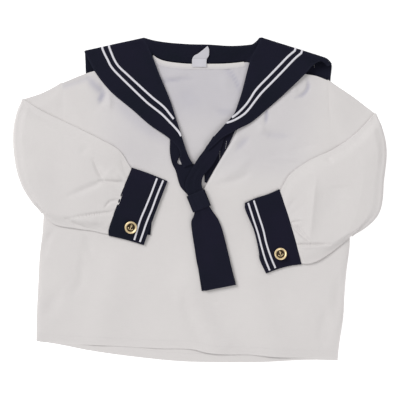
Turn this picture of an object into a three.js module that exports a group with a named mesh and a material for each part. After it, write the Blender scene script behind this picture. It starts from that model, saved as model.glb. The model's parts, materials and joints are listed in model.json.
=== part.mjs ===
// Child's sailor jumper of white cotton with a navy collar, cuffs and tie, laid flat on its back
// with both sleeves folded over at the elbow. Millimetres: +X points to the wearer's left, +Y to
// the neck and +Z up. The origin is under the middle of the outline, on the surface it lies on.
import * as THREE from 'three';

// Cloth and the space between its layers
const CLOTH = 1.2;
const BRAID_CLOTH = 1.0;
const SEAM_GAP = 0.3;
const LAY_GAP = 0.5;
const TUBE_GAP = 0.6;
const LAYER = CLOTH + SEAM_GAP;
const TUBE = 2 * CLOTH + TUBE_GAP;
const FRONT_TOP = CLOTH + LAYER;
const ARMHOLE_GAP = 0.39;

// The collar's back flap lies under the back panel and lifts the layers over it
const FLAP = { rightTop: -134, leftTop: 152, top: 172, rightBottom: -121, leftBottom: 136, bottom: 28.5 };
const LIFT_CLEAR = 6;
const LIFT_RAMP = 40;

// Columns of cells across each half of the body, and rows down the armhole and the side
const HALF_COLUMNS = 10;
const ARMHOLE_ROWS = 8;
const SIDE_ROWS = 12;
const V_ROW = 7;
const SHOULDER_FADE_ROWS = 3;
const HEM_FADE_ROWS = 5;

// Soft folds of the front panel: a raised ridge along each line, its half width and height
const FRONT_FOLDS = [
  { from: [-14, -98], to: [6, -172], width: 17, height: 1.6 },
  { from: [62, -92], to: [84, -178], width: 18, height: 1.4 },
  { from: [-96, -70], to: [-118, -160], width: 18, height: 1.3 },
];

// Seams and edges of the body, as points from the wearer's right to the wearer's left
const RIGHT_SHOULDER = [[-158.5, 134.5], [-131, 145.5], [-103.5, 153], [-78, 160], [-57.5, 166.3]];
const LEFT_SHOULDER = [[59.5, 158.3], [92, 152], [120.5, 145], [134, 142.5], [147, 137.5]];
const FRONT_HEM = [[-188.5, -162], [-158.5, -165.5], [-119, -167.3], [-82.5, -169], [-46, -171],
  [-2, -171.6], [5, -176], [25.5, -177.8], [58.5, -178.3], [88, -181], [117.5, -182], [158.5, -184]];
const BACK_HEM = [[-188.5, -162.5], [-172, -164.5], [-157, -167.2], [-131, -172.5], [-83, -179.5],
  [-31, -185], [0, -186.5], [73.5, -186.5], [102.5, -185], [126.5, -184], [158.5, -184.5]];

// Front neckline: a row for each armhole row down to the point of the V
const NECKLINE = [
  { right: [-58, 165.5], left: [60, 157.5] },
  { right: [-52, 141], left: [55.5, 134] },
  { right: [-47.5, 117], left: [51, 112] },
  { right: [-42, 94], left: [46.5, 93] },
  { right: [-35, 73], left: [39.5, 73] },
  { right: [-26, 52.5], left: [28.5, 54.5] },
  { right: [-15.5, 32], left: [17.5, 36] },
  { right: [-3.5, 12.5], left: [4, 11.5] },
];

// Sleeves: a row for each section from its top or outer edge to its underarm edge. Puff is the
// height of the air inside, and under is the height of the air below the folded forearm.
const RIGHT_SLEEVE = [
  { part: 'armhole', puff: 0,
    across: [[-158.5, 134.5], [-157.5, 92], [-161, 40], [-179.5, -6]] },
  { part: 'upper arm', puff: 1.3,
    across: [[-183, 122], [-186.5, 83], [-187.5, 37], [-181, -10.5]] },
  { part: 'elbow', puff: 1.8,
    across: [[-203.5, 115.5], [-210.5, 84], [-209.5, 50.5], [-201.5, 18.5], [-181.5, -14]] },
  { part: 'forearm', puff: 2.9, under: 2.3,
    across: [[-183, 102.5], [-192, 75], [-191, 46], [-181.5, 9], [-168.5, -27]] },
  { part: 'forearm', puff: 3.2, under: 1.2,
    across: [[-154, 88.5], [-161, 61], [-162, 31], [-156.5, -3.5], [-145, -32]] },
  { part: 'forearm', puff: 3.1, under: 0.3,
    across: [[-114, 69], [-124, 46], [-129, 18.5], [-127.5, -10.5], [-123, -35]] },
  { part: 'forearm', puff: 2.3, under: 0,
    across: [[-93, 56.5], [-101, 35.5], [-108, 11.5], [-111.5, -15], [-112.5, -37.5]] },
  { part: 'wrist', puff: 0.2, under: 0,
    across: [[-79.5, 36], [-86, 17.5], [-92.5, -1], [-99, -20], [-105.5, -38.5]] },
];
const LEFT_SLEEVE = [
  { part: 'armhole', puff: 0,
    across: [[147, 137.5], [149.5, 89.5], [156.5, 34.5], [171.5, -30]] },
  { part: 'upper arm', puff: 1.3,
    across: [[177, 117.5], [180.5, 80.5], [184, 34.5], [175, -37]] },
  { part: 'elbow', puff: 1.8,
    across: [[201.5, 99], [210.5, 61], [207.5, 23], [202, -14.5], [175, -40.5]] },
  { part: 'forearm', puff: 2.9, under: 2.3,
    across: [[179.5, 76], [188.5, 46], [186.5, 15], [178, -19.5], [160.5, -52.5]] },
  { part: 'forearm', puff: 3.2, under: 1.2,
    across: [[155, 58.5], [161, 31], [161, 1], [157.5, -32], [147, -62.5]] },
  { part: 'forearm', puff: 3.1, under: 0.3,
    across: [[126.5, 45], [132, 18.5], [135.5, -11.5], [138, -42.5], [134.5, -70]] },
  { part: 'forearm', puff: 2.3, under: 0,
    across: [[103.5, 28.5], [111.5, 6], [117.5, -20.5], [123, -48.5], [123, -73]] },
  { part: 'wrist', puff: 0.2, under: 0,
    across: [[93, 11], [99.5, -9], [105.5, -28.5], [111.5, -51], [117, -72.5]] },
];
const PUFF_FULLNESS = 0.6;
const SLEEVE_COLUMNS = 8;
const UPPER_ARM_STEPS = 4;
const ELBOW_STEPS = 4;
const FOREARM_STEPS = 10;

// Cuffs: flattened bands from the wrist seam to the open end, with a button and two braids
const RIGHT_CUFF = {
  sections: [[[-79, 35.5], [-105, -38.5]], [[-58, 29], [-84.5, -44]], [[-37.5, 20.5], [-64.5, -51]]],
  underlap: 3.8,
  button: [-79.5, -31.5],
};
const LEFT_CUFF = {
  sections: [[[92.5, 10.5], [104.8, -28.5], [116.5, -72]], [[71.5, 3], [84, -35.5], [95.5, -76.5]],
    [[51.5, -5], [62.5, -39], [75.5, -83.5]]],
  underlap: 0,
  button: [92.5, -62.5],
};
const CUFF_COLUMNS = 6;
const CUFF_SEAM_SHARE = 0.008;
const CUFF_DEPTHS = [CUFF_SEAM_SHARE, 0.35, 0.7, 1];
const UNDERLAP_FROM = 4;
const UNDERLAP_START_SHARE = 0.3;
const CUFF_BRAIDS = { inner: 0.71, outer: 0.88 };
const CUFF_BRAID_WIDTH = 2.4;

// Collar lapels: a row for each section from the outer to the inner edge, from the shoulder fold
// to the tip. Braid columns are shares of the row, and lift is the height that it stands proud.
const RIGHT_LAPEL = [
  { across: [[-132.5, 169], [-64.5, 184]], outerBraid: 0.29, innerBraid: 0.415, lift: 0, roll: 0 },
  { across: [[-120.5, 147], [-56.5, 169]], outerBraid: 0.28, innerBraid: 0.4, lift: 0, roll: 0 },
  { across: [[-103, 125], [-46.5, 144]], outerBraid: 0.37, innerBraid: 0.545, lift: 0, roll: 0 },
  { across: [[-77.5, 103.5], [-34.5, 115]], outerBraid: 0.48, innerBraid: 0.755, lift: 0, roll: 0 },
  { across: [[-57.5, 86], [-26, 89]], outerBraid: 0.785, innerBraid: 1.0, lift: 0.6, roll: 0 },
  { across: [[-36, 71], [-20, 70]], outerBraid: 1.0, innerBraid: 1.0, lift: 1.7, roll: 0 },
  { across: [[-22, 57.5], [-15.5, 56.5]], outerBraid: 1.0, innerBraid: 1.0, lift: 1.9, roll: 0 },
  { across: [[-19, 45], [-12.5, 49]], outerBraid: 1.0, innerBraid: 1.0, lift: 1.9, roll: 0 },
  { across: [[-11.5, 38.8], [-8.3, 41.5]], outerBraid: 1.0, innerBraid: 1.0, lift: 1.9, roll: 0 },
];
const LEFT_LAPEL = [
  { across: [[145, 150], [143.5, 155.5], [137, 160.2], [100, 174.3], [70, 184.5]],
    outerBraid: 0.397, innerBraid: 0.488, lift: 0, roll: 7 },
  { across: [[121, 145], [57.5, 159.5]], outerBraid: 0.39, innerBraid: 0.505, lift: 0, roll: 2.6 },
  { across: [[94, 119], [48, 124]], outerBraid: 0.57, innerBraid: 0.717, lift: 0, roll: 0.4 },
  { across: [[75, 102.5], [44.5, 113]], outerBraid: 0.512, innerBraid: 0.714, lift: 0, roll: 0 },
  { across: [[58.5, 89], [39, 99]], outerBraid: 0.665, innerBraid: 1.0, lift: 0.5, roll: 0 },
  { across: [[44, 81.5], [29, 87.5]], outerBraid: 1.0, innerBraid: 1.0, lift: 1.4, roll: 0 },
  { across: [[26, 71.5], [17, 74]], outerBraid: 1.0, innerBraid: 1.0, lift: 1.8, roll: 0 },
  { across: [[17.6, 64], [11.6, 67]], outerBraid: 1.0, innerBraid: 1.0, lift: 1.8, roll: 0 },
  { across: [[9.5, 57], [6.5, 60.5]], outerBraid: 1.0, innerBraid: 1.0, lift: 1.8, roll: 0 },
];
const LAPEL_BRAID_WIDTH = 3.2;
const LAPEL_COLUMNS = 6;
const LAPEL_STEP = 0.5;
const BRAID_FOLD_STEPS = 2;
const BRAID_LEAST_SHARE = 0.05;
const BRAID_MOST_SHARE = 0.99;

// Back of the collar between the lapels: a row for each section from its roll to the neck seam
const NECK_BAND = [
  { roll: [-54, 181], seam: [-49.5, 164] },
  { roll: [-38, 178.5], seam: [-40, 160] },
  { roll: [-12, 176.5], seam: [-16, 157] },
  { roll: [10.5, 176], seam: [6, 156.8] },
  { roll: [35, 174.5], seam: [27.5, 157] },
  { roll: [54, 175.5], seam: [43, 158.2] },
  { roll: [62, 177], seam: [51.5, 159] },
];

// Back flap below the shoulder fold: its sides at the shoulder and at the bottom corners
const FLAP_SECTIONS = [
  { right: [-131.5, 145.5], left: [149, 140] },
  { right: [-126, 85], left: [142, 85] },
  { right: [-120.5, 28.5], left: [135.5, 28.5] },
];
const FLAP_STEPS = 6;
const TURN_STEPS = 4;

// White strip sewn inside the back neck, and the label on it: sections across each
const NECK_BINDING = [
  { upper: [-55, 166.8], lower: [-53.2, 160.6] },
  { upper: [-49, 162], lower: [-50, 156.5] },
  { upper: [-40, 158.7], lower: [-42.5, 152.6] },
  { upper: [-16, 155.7], lower: [-16.5, 149.5] },
  { upper: [6, 155.5], lower: [6, 149.2] },
  { upper: [27.5, 155.7], lower: [28, 149.5] },
  { upper: [43, 156.9], lower: [44.5, 151] },
  { upper: [50.5, 157.8], lower: [52.5, 152.8] },
];
const NECK_LABEL = [
  { left: [-8.5, 152], right: [8.5, 152], underside: 4.5 },
  { left: [-8.5, 164], right: [8.5, 164], underside: 4.5 },
  { left: [-1, 170.5], right: [8.5, 172], underside: 5.5 },
  { left: [7, 176.5], right: [8.5, 177], underside: 6.4 },
];

// Turned-back under side of the collar that shows beside the left neckline
const UNDER_COLLAR = [
  { right: [27, 84], left: [42.6, 84.5] },
  { right: [18, 66], left: [34, 65.5] },
  { right: [11, 50], left: [25, 49.5] },
  { right: [5.5, 31], left: [13.8, 30.8] },
  { right: [5.3, 20.5], left: [7.6, 19.6] },
];
const UNDER_COLLAR_COLUMNS = 2;
const UNDER_COLLAR_STEPS = 8;

// Tie: each end is a band through the keeper, and over is its height above the front panel
const RIGHT_TIE = [
  { right: [-34.5, 70], left: [-22, 72], over: 0.5 },
  { right: [-34.5, 54], left: [-22.5, 53.5], over: 0.5 },
  { right: [-32, 43.5], left: [-25.5, 43], over: 0.5 },
  { right: [-28, 33.5], left: [-6, 37], over: 0.5 },
  { right: [-22.5, 15.5], left: [0, 22], over: 0.8 },
  { right: [-13.7, 4.9], left: [3.3, 11.7], over: 1.8 },
  { right: [-6.3, -13.7], left: [10.7, -6.9], over: 1.8 },
  { right: [-8, -24], left: [18.5, -20.5], over: 0.9 },
  { right: [-8.5, -37], left: [23, -34], over: 0.5 },
  { right: [-5, -60], left: [28, -56], over: 0.5 },
  { right: [2, -104.8], left: [31.5, -99], over: 0.5 },
];
const LEFT_TIE = [
  { right: [15, 73], left: [29, 76], over: 0.5 },
  { right: [6, 59], left: [24, 59], over: 0.5 },
  { right: [-2.5, 47.5], left: [15.5, 42], over: 2.1 },
  { right: [-10.5, 33.5], left: [4, 27.5], over: 2.3 },
  { right: [-17, 18.5], left: [2, 19.5], over: 2.6 },
  { right: [-13.7, 4.9], left: [3.3, 11.7], over: 3.3 },
  { right: [-6.3, -13.7], left: [10.7, -6.9], over: 3.3 },
  { right: [-10, -25], left: [21.5, -23.5], over: 2.6 },
  { right: [-9.5, -34], left: [26, -35.5], over: 2.2 },
  { right: [-6, -57], left: [32, -59], over: 2.2 },
  { right: [-3, -75], left: [36, -76], over: 2.2 },
  { right: [5.5, -104.5], left: [41.5, -97.5], over: 2.2 },
];
const TIE_COLUMNS = 4;
const TIE_STEPS = 20;
const KEEPER = { middle: [-1.5, -1], along: [0.373, -0.928], length: 20, halfWidth: 9.5, nose: 1.65,
  over: 0.3, height: 5.7 };
const KEEPER_COLUMNS = 4;
const KEEPER_STEPS = 4;

// Button: radius and height of each step of its turned outline above the cuff
const BUTTON_OUTLINE = [
  { radius: 0, height: 0.3 }, { radius: 2.4, height: 0.3 }, { radius: 2.4, height: 1.7 },
  { radius: 6.5, height: 1.7 }, { radius: 7.2, height: 2.3 }, { radius: 7.1, height: 3.1 },
  { radius: 6.5, height: 3.6 }, { radius: 5.8, height: 3.5 }, { radius: 5.2, height: 2.9 },
  { radius: 2.6, height: 3.1 }, { radius: 0, height: 3.3 },
];
const BUTTON_SIDES = 24;

const WHITE_COTTON = new THREE.MeshStandardMaterial({ color: 0xdad6d5, roughness: 0.9, metalness: 0 });
const NAVY_COTTON = new THREE.MeshStandardMaterial({ color: 0x1d1f2d, roughness: 0.88, metalness: 0 });
const WHITE_BRAID = new THREE.MeshStandardMaterial({ color: 0xe5e4ec, roughness: 0.75, metalness: 0 });
const GILT_METAL = new THREE.MeshStandardMaterial({ color: 0xc9a25e, roughness: 0.35, metalness: 1 });

const UP = new THREE.Vector3(0, 0, 1);

const clamp = (value, low, high) => Math.min(Math.max(value, low), high);
const mix = (a, b, share) => a + (b - a) * share;
const mixPoint = (a, b, share) => [mix(a[0], b[0], share), mix(a[1], b[1], share)];
const flat = ([x, y]) => new THREE.Vector3(x, y, 0);

function smoothStep(value) {
  const t = clamp(value, 0, 1);
  return t * t * (3 - 2 * t);
}

function smoothCurve(points) {
  return new THREE.CatmullRomCurve3(points.map(flat), false, 'centripetal');
}

// Point of a smooth line through the given points, at a share of its length
function curvePoint(curve, share) {
  const { x, y } = curve.getPointAt(share);
  return [x, y];
}

// Value of a named column of a table between two of its rows
function between(rows, place, read) {
  const row = Math.min(Math.floor(place), rows.length - 2);
  return mix(read(rows[row]), read(rows[row + 1]), place - row);
}

// How far the flap under the back panel lifts the layers at a place
function flapLift(x, y) {
  const down = (FLAP.top - y) / (FLAP.top - FLAP.bottom);
  const beyondRight = mix(FLAP.rightTop, FLAP.rightBottom, clamp(down, 0, 1)) - x;
  const beyondLeft = x - mix(FLAP.leftTop, FLAP.leftBottom, clamp(down, 0, 1));
  const beyondSide = Math.max(beyondRight, beyondLeft, 0);
  const beyondBottom = Math.max(FLAP.bottom - y, 0);
  const beyond = Math.hypot(beyondSide, beyondBottom);
  return LAYER * (1 - smoothStep((beyond - LIFT_CLEAR) / LIFT_RAMP));
}

// How far the folds of the front panel raise it at a place
function foldLift(x, y) {
  let lift = 0;
  for (const { from, to, width, height } of FRONT_FOLDS) {
    const run = [to[0] - from[0], to[1] - from[1]];
    const past = (x - from[0]) * run[0] + (y - from[1]) * run[1];
    const share = clamp(past / (run[0] ** 2 + run[1] ** 2), 0, 1);
    const away = Math.hypot(x - from[0] - share * run[0], y - from[1] - share * run[1]);
    lift += height * Math.exp(-((away / width) ** 2));
  }
  return lift;
}

const bodyTop = (x, y) => flapLift(x, y) + foldLift(x, y) + FRONT_TOP;

// Mesh of a closed body from its points and triangles, with its faces turned outwards
function closedMesh(name, material, points, triangles) {
  let volume = 0;
  for (const [a, b, c] of triangles) {
    volume += points[a].dot(new THREE.Vector3().crossVectors(points[b], points[c]));
  }
  const faces = volume < 0 ? triangles.map(([a, b, c]) => [a, c, b]) : triangles;
  const places = points.flatMap(({ x, y, z }) => [x, y, z]);
  const geometry = new THREE.BufferGeometry();
  geometry.setAttribute('position', new THREE.Float32BufferAttribute(places, 3));
  geometry.setIndex(faces.flat());
  geometry.computeVertexNormals();
  const mesh = new THREE.Mesh(geometry, material);
  mesh.name = name;
  return mesh;
}

// Layer of cloth over a grid of cells: both faces come from pointAt, and a rim closes its edges
function clothLayer(name, material, columns, rows, pointAt, hasCell = () => true) {
  const points = [];
  const triangles = [];
  const places = new Map();
  const corner = (column, row, side) => {
    const key = `${column},${row},${side}`;
    if (!places.has(key)) {
      places.set(key, points.length);
      points.push(pointAt(column, row, side));
    }
    return places.get(key);
  };
  const filled = (column, row) =>
    column >= 0 && column < columns && row >= 0 && row < rows && hasCell(column, row);
  const square = (a, b, c, d) => triangles.push([a, b, c], [a, c, d]);
  for (let column = 0; column < columns; column += 1) {
    for (let row = 0; row < rows; row += 1) {
      if (!filled(column, row)) continue;
      const around = [[column, row], [column + 1, row], [column + 1, row + 1], [column, row + 1]];
      const outer = around.map(([c, r]) => corner(c, r, 1));
      const inner = around.map(([c, r]) => corner(c, r, -1));
      square(...outer);
      square(inner[0], inner[3], inner[2], inner[1]);
      const neighbours = [[column, row - 1], [column + 1, row], [column, row + 1], [column - 1, row]];
      neighbours.forEach(([c, r], side) => {
        const next = (side + 1) % 4;
        if (!filled(c, r)) square(outer[side], inner[side], inner[next], outer[next]);
      });
    }
  }
  return closedMesh(name, material, points, triangles);
}

// Flat layer of cloth between an underside and a face of the same outline
function flatLayer(name, material, columns, rows, planAt, undersideAt, wall, hasCell) {
  return clothLayer(name, material, columns, rows, (column, row, side) => {
    const [x, y] = planAt(column, row);
    return new THREE.Vector3(x, y, undersideAt(x, y, column, row) + (side > 0 ? wall : 0));
  }, hasCell);
}

// Band of cloth along a table of rows with a right and a left edge
function flatBand(name, material, table, columns, rows, undersideAt, wall) {
  const edges = ['right', 'left'].map((edge) => smoothCurve(table.map((row) => row[edge])));
  const last = table.length - 1;
  const planAt = (column, row) => {
    const [right, left] = edges.map((edge) => edge.getPoint(row / rows));
    const { x, y } = right.lerp(left, column / columns);
    return [x, y];
  };
  return flatLayer(name, material, columns, rows, planAt,
    (x, y, column, row) => undersideAt(x, y, (last * row) / rows), wall);
}

// Closed section of a flattened tube: its upper side, its far edge, its lower side, its near edge
function tubeSection(middles, thicknesses, facings, nose) {
  const last = middles.length - 1;
  const side = (inset, way, order) => order.map((index) =>
    middles[index].clone().addScaledVector(facings[index], way * (thicknesses[index] / 2 - inset)));
  const edge = (inset, index, inward) => {
    const out = middles[index].clone().sub(middles[inward]).setZ(0).normalize();
    return middles[index].clone().addScaledVector(out, (nose ?? thicknesses[index] / 2) - inset);
  };
  const forward = middles.map((_, index) => index);
  const backward = [...forward].reverse();
  const loop = (inset) => [...side(inset, 1, forward), edge(inset, last, last - 1),
    ...side(inset, -1, backward), edge(inset, 0, 1)];
  return { outer: loop(0), inner: loop(CLOTH) };
}

// Open tube of cloth through its sections
function clothTube(name, material, sections) {
  const around = sections[0].outer.length;
  const points = sections.flatMap(({ outer, inner }) => [...outer, ...inner]);
  const triangles = [];
  const square = (a, b, c, d) => triangles.push([a, b, c], [a, c, d]);
  const at = (section, skin, step) => (2 * section + skin) * around + (step % around);
  const last = sections.length - 1;
  for (let step = 0; step < around; step += 1) {
    for (let section = 0; section < last; section += 1) {
      const next = section + 1;
      square(at(section, 0, step), at(next, 0, step), at(next, 0, step + 1), at(section, 0, step + 1));
      square(at(section, 1, step), at(section, 1, step + 1), at(next, 1, step + 1), at(next, 1, step));
    }
    square(at(0, 0, step), at(0, 0, step + 1), at(0, 1, step + 1), at(0, 1, step));
    square(at(last, 0, step + 1), at(last, 0, step), at(last, 1, step), at(last, 1, step + 1));
  }
  return closedMesh(name, material, points, triangles);
}

// Armhole seam of a sleeve, at the rows that the body panels share with it
function armholeSeam(sleeve, inward) {
  const seam = smoothCurve(sleeve[0].across);
  return Array.from({ length: ARMHOLE_ROWS + 1 }, (_, row) => {
    const [x, y] = curvePoint(seam, row / ARMHOLE_ROWS);
    return [x + inward * ARMHOLE_GAP, y];
  });
}

// Rows of one side of the body: the armhole seam, then the side seam down to the hem
function bodySide(seam, hemCorner) {
  const underarm = seam[ARMHOLE_ROWS];
  const side = Array.from({ length: SIDE_ROWS }, (_, row) =>
    mixPoint(underarm, hemCorner, (row + 1) / SIDE_ROWS));
  return [...seam, ...side];
}

// Body panel over rows from the shoulders to the hem. The middle block of columns is the neck.
function bodyPanel(name, { neckRows, middleTop, middleColumns, hem, hasMiddle, undersideAt }) {
  const rightSide = bodySide(armholeSeam(RIGHT_SLEEVE, 1), hem[0]);
  const leftSide = bodySide(armholeSeam(LEFT_SLEEVE, -1), hem[hem.length - 1]);
  const hemLine = smoothCurve(hem);
  const rows = ARMHOLE_ROWS + SIDE_ROWS;
  const columns = 2 * HALF_COLUMNS + middleColumns;
  const hemShare = (column) => column / columns;
  const neckEnd = neckRows.length - 1;
  const neckPoint = (edge, column, row) => {
    if (row <= neckEnd) return neckRows[row][edge];
    const share = (row - neckEnd) / (rows - neckEnd);
    return mixPoint(neckRows[neckEnd][edge], curvePoint(hemLine, hemShare(column)), share);
  };
  const leftNeck = columns - HALF_COLUMNS;
  const blocks = [
    { first: 0, last: HALF_COLUMNS, top: smoothCurve(RIGHT_SHOULDER),
      from: (row) => rightSide[row], to: (row) => neckPoint('right', HALF_COLUMNS, row) },
    { first: HALF_COLUMNS, last: leftNeck, top: middleTop,
      from: (row) => neckPoint('right', HALF_COLUMNS, row), to: (row) => neckPoint('left', leftNeck, row) },
    { first: leftNeck, last: columns, top: smoothCurve(LEFT_SHOULDER),
      from: (row) => neckPoint('left', leftNeck, row), to: (row) => leftSide[row] },
  ];
  const topFade = (row) => Math.max(0, 1 - row / SHOULDER_FADE_ROWS);
  const hemFade = (row) => Math.max(0, 1 - (rows - row) / HEM_FADE_ROWS);
  const planAt = (column, row) => {
    const block = blocks.find(({ last }) => column <= last);
    const share = (column - block.first) / (block.last - block.first);
    const straight = mixPoint(block.from(row), block.to(row), share);
    const topBow = block.top ? bowAt(block, 0, share, block.top.getPoint(share)) : [0, 0];
    const [hemX, hemY] = curvePoint(hemLine, hemShare(column));
    const hemBow = bowAt(block, rows, share, { x: hemX, y: hemY });
    return [0, 1].map((axis) => straight[axis] + topFade(row) * topBow[axis] + hemFade(row) * hemBow[axis]);
  };
  return flatLayer(name, WHITE_COTTON, columns, rows, planAt, undersideAt, CLOTH,
    (column, row) => column < HALF_COLUMNS || column >= leftNeck || hasMiddle(row));
}

// How far a curved edge of a block of columns lies from the straight line between its ends
function bowAt(block, row, share, { x, y }) {
  const straight = mixPoint(block.from(row), block.to(row), share);
  return [x - straight[0], y - straight[1]];
}

function backPanel() {
  const seam = NECK_BAND.map(({ seam: [x, y] }) => [x, y - LAY_GAP]);
  const ends = { right: RIGHT_SHOULDER[RIGHT_SHOULDER.length - 1], left: LEFT_SHOULDER[0] };
  const neckLine = [ends.right, ...seam, ends.left];
  return bodyPanel('back_panel', {
    neckRows: [ends],
    middleTop: { getPoint: (share) => flat(neckLine[Math.round(share * (neckLine.length - 1))]) },
    middleColumns: neckLine.length - 1,
    hem: BACK_HEM,
    hasMiddle: () => true,
    undersideAt: flapLift,
  });
}

function frontPanel() {
  return bodyPanel('front_panel', {
    neckRows: NECKLINE,
    middleTop: null,
    middleColumns: 1,
    hem: FRONT_HEM,
    hasMiddle: (row) => row >= V_ROW,
    undersideAt: (x, y) => flapLift(x, y) + foldLift(x, y) + LAYER,
  });
}

// Sleeve: a flattened tube from the armhole to the elbow fold, round it, and back to the wrist
function sleeve(name, table) {
  const elbow = table.findIndex(({ part }) => part === 'elbow');
  const shares = Array.from({ length: SLEEVE_COLUMNS + 1 }, (_, column) => column / SLEEVE_COLUMNS);
  const lines = table.map(({ across }) => smoothCurve(across));
  const puffShape = shares.map((share) => Math.sin(Math.PI * share) ** PUFF_FULLNESS);
  const runs = (rows) => shares.map((share) => new THREE.CatmullRomCurve3(
    rows.map((line) => line.getPointAt(share)), false, 'centripetal'));
  const upperRuns = runs(lines.slice(0, elbow + 1));
  const foreRuns = runs(lines.slice(elbow));
  const thicknessAt = (rows, place) => puffShape.map((shape) =>
    TUBE + shape * between(rows, place, (row) => row.puff));
  const sections = [];
  const upperRows = table.slice(0, elbow + 1);
  for (let step = 0; step <= UPPER_ARM_STEPS; step += 1) {
    const share = step / UPPER_ARM_STEPS;
    const thickness = thicknessAt(upperRows, share * elbow);
    const middles = upperRuns.map((run, column) => {
      const point = run.getPoint(share);
      return point.setZ(flapLift(point.x, point.y) + thickness[column] / 2);
    });
    sections.push(tubeSection(middles, thickness, middles.map(() => UP)));
  }
  const foldThickness = thicknessAt(upperRows, elbow);
  for (let step = 1; step < ELBOW_STEPS; step += 1) {
    const turn = (Math.PI * step) / ELBOW_STEPS;
    const facings = [];
    const middles = shares.map((share, column) => {
      const along = lines[elbow].getTangentAt(share);
      const out = new THREE.Vector3(along.y, -along.x, 0);
      if (out.x * table[elbow].across[0][0] < 0) out.negate();
      const radius = (foldThickness[column] + LAY_GAP) / 2;
      facings.push(out.clone().multiplyScalar(-Math.sin(turn)).addScaledVector(UP, Math.cos(turn)));
      return lines[elbow].getPointAt(share).addScaledVector(out, radius * Math.sin(turn))
        .setZ(foldThickness[column] / 2 + radius * (1 - Math.cos(turn)));
    });
    sections.push(tubeSection(middles, foldThickness, facings));
  }
  const foreRows = table.slice(elbow);
  const foldUnder = puffShape.map((shape) => TUBE - FRONT_TOP + shape * table[elbow].puff);
  for (let step = 0; step <= FOREARM_STEPS; step += 1) {
    const place = (step / FOREARM_STEPS) * (foreRows.length - 1);
    const thickness = thicknessAt(foreRows, place);
    const middles = foreRuns.map((run, column) => {
      const point = run.getPoint(step / FOREARM_STEPS);
      const under = between(foreRows, place, (row) => row.under ?? foldUnder[column]);
      return point.setZ(bodyTop(point.x, point.y) + LAY_GAP + under + thickness[column] / 2);
    });
    sections.push(tubeSection(middles, thickness, middles.map(() => UP.clone().negate())));
  }
  return clothTube(name, WHITE_COTTON, sections);
}

const cuffTop = (x, y) => bodyTop(x, y) + LAY_GAP + TUBE;

// Plan of a cuff at a share of its depth and of the way along its wrist
function cuffPlan(cuff, depth, share) {
  const lines = cuff.sections.map((section) => smoothCurve(section).getPointAt(share));
  const { x, y } = new THREE.CatmullRomCurve3(lines, false, 'centripetal').getPoint(depth);
  return [x, y];
}

// Cuff: a flattened band, with the end of its button lap showing past the open edge
function cuff(name, measures) {
  const shares = Array.from({ length: CUFF_COLUMNS + 1 }, (_, column) => column / CUFF_COLUMNS);
  const sections = CUFF_DEPTHS.map((depth) => {
    const middles = shares.map((share) => {
      const [x, y] = cuffPlan(measures, depth, share);
      return new THREE.Vector3(x, y, bodyTop(x, y) + LAY_GAP + TUBE / 2);
    });
    return tubeSection(middles, middles.map(() => TUBE), middles.map(() => UP));
  });
  if (measures.underlap > 0) extendUnderlap(sections, measures);
  return clothTube(name, NAVY_COTTON, sections);
}

// Moves the lower layer of a cuff's open end outwards over the button lap
function extendUnderlap(sections, measures) {
  const end = sections[sections.length - 1];
  const before = sections[sections.length - 2];
  const lower = 2 * (CUFF_COLUMNS + 1) - UNDERLAP_FROM;
  for (const skin of ['outer', 'inner']) {
    for (const index of [lower, lower - 1]) {
      const out = end[skin][index].clone().sub(before[skin][index]).setZ(0).normalize();
      const share = index === lower ? UNDERLAP_START_SHARE : 1;
      end[skin][index].addScaledVector(out, measures.underlap * share);
    }
  }
}

function cuffBraid(name, measures, depth) {
  const [start, end] = [0, 1].map((share) => cuffPlan(measures, share, 0.5));
  const halfWidth = CUFF_BRAID_WIDTH / 2 / Math.hypot(end[0] - start[0], end[1] - start[1]);
  return flatLayer(name, WHITE_BRAID, 1, CUFF_COLUMNS,
    (column, row) => cuffPlan(measures, depth + (column ? halfWidth : -halfWidth), row / CUFF_COLUMNS),
    (x, y) => cuffTop(x, y) + SEAM_GAP, BRAID_CLOTH);
}

function button(name, [x, y]) {
  const outline = BUTTON_OUTLINE.map(({ radius, height }) => new THREE.Vector2(radius, height));
  const geometry = new THREE.LatheGeometry(outline, BUTTON_SIDES).rotateX(Math.PI / 2);
  const mesh = new THREE.Mesh(geometry, GILT_METAL);
  mesh.name = name;
  mesh.position.set(x, y, cuffTop(x, y));
  return mesh;
}

// Middle of the collar's cloth over the front, at a share across a lapel and a place down it
function lapelMiddle(lapel, share, place) {
  const points = lapel.map(({ across }) => smoothCurve(across).getPointAt(share));
  const run = new THREE.CatmullRomCurve3(points, false, 'centripetal');
  const point = run.getPoint(place / (lapel.length - 1));
  const roll = between(lapel, place, (row) => row.roll) * (1 - share) ** 2;
  const lift = between(lapel, place, (row) => row.lift) + roll;
  return point.setZ(flapLift(point.x, point.y) + FRONT_TOP + LAY_GAP + CLOTH / 2 + lift);
}

// Middle of the collar's cloth between its roll and the neck seam
function bandMiddle(row, share) {
  const [x, y] = mixPoint(row.roll, row.seam, share);
  const atRoll = LAYER + FRONT_TOP + LAY_GAP + CLOTH / 2;
  const atSeam = LAYER + CLOTH / 2;
  return new THREE.Vector3(x, y, mix(atRoll, atSeam, share));
}

// Columns of the collar from its right outer edge to its left outer edge
const LAPEL_SHARES = Array.from({ length: LAPEL_COLUMNS + 1 }, (_, column) => column / LAPEL_COLUMNS);
const COLLAR_COLUMNS = [
  ...LAPEL_SHARES.map((share) => ({ lapel: RIGHT_LAPEL, share })),
  ...NECK_BAND.map((band) => ({ band })),
  ...LAPEL_SHARES.map((share) => ({ lapel: LEFT_LAPEL, share: 1 - share })),
];

function collarTop(column, place) {
  if (column.band) return bandMiddle(column.band, Math.min(place, 1));
  return lapelMiddle(column.lapel, column.share, place);
}

// Way that the shoulder fold faces, from the fold points either side of a column
function foldOutward(before, after) {
  const along = after.clone().sub(before).setZ(0).normalize();
  return new THREE.Vector3(-along.y, along.x, 0);
}

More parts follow.
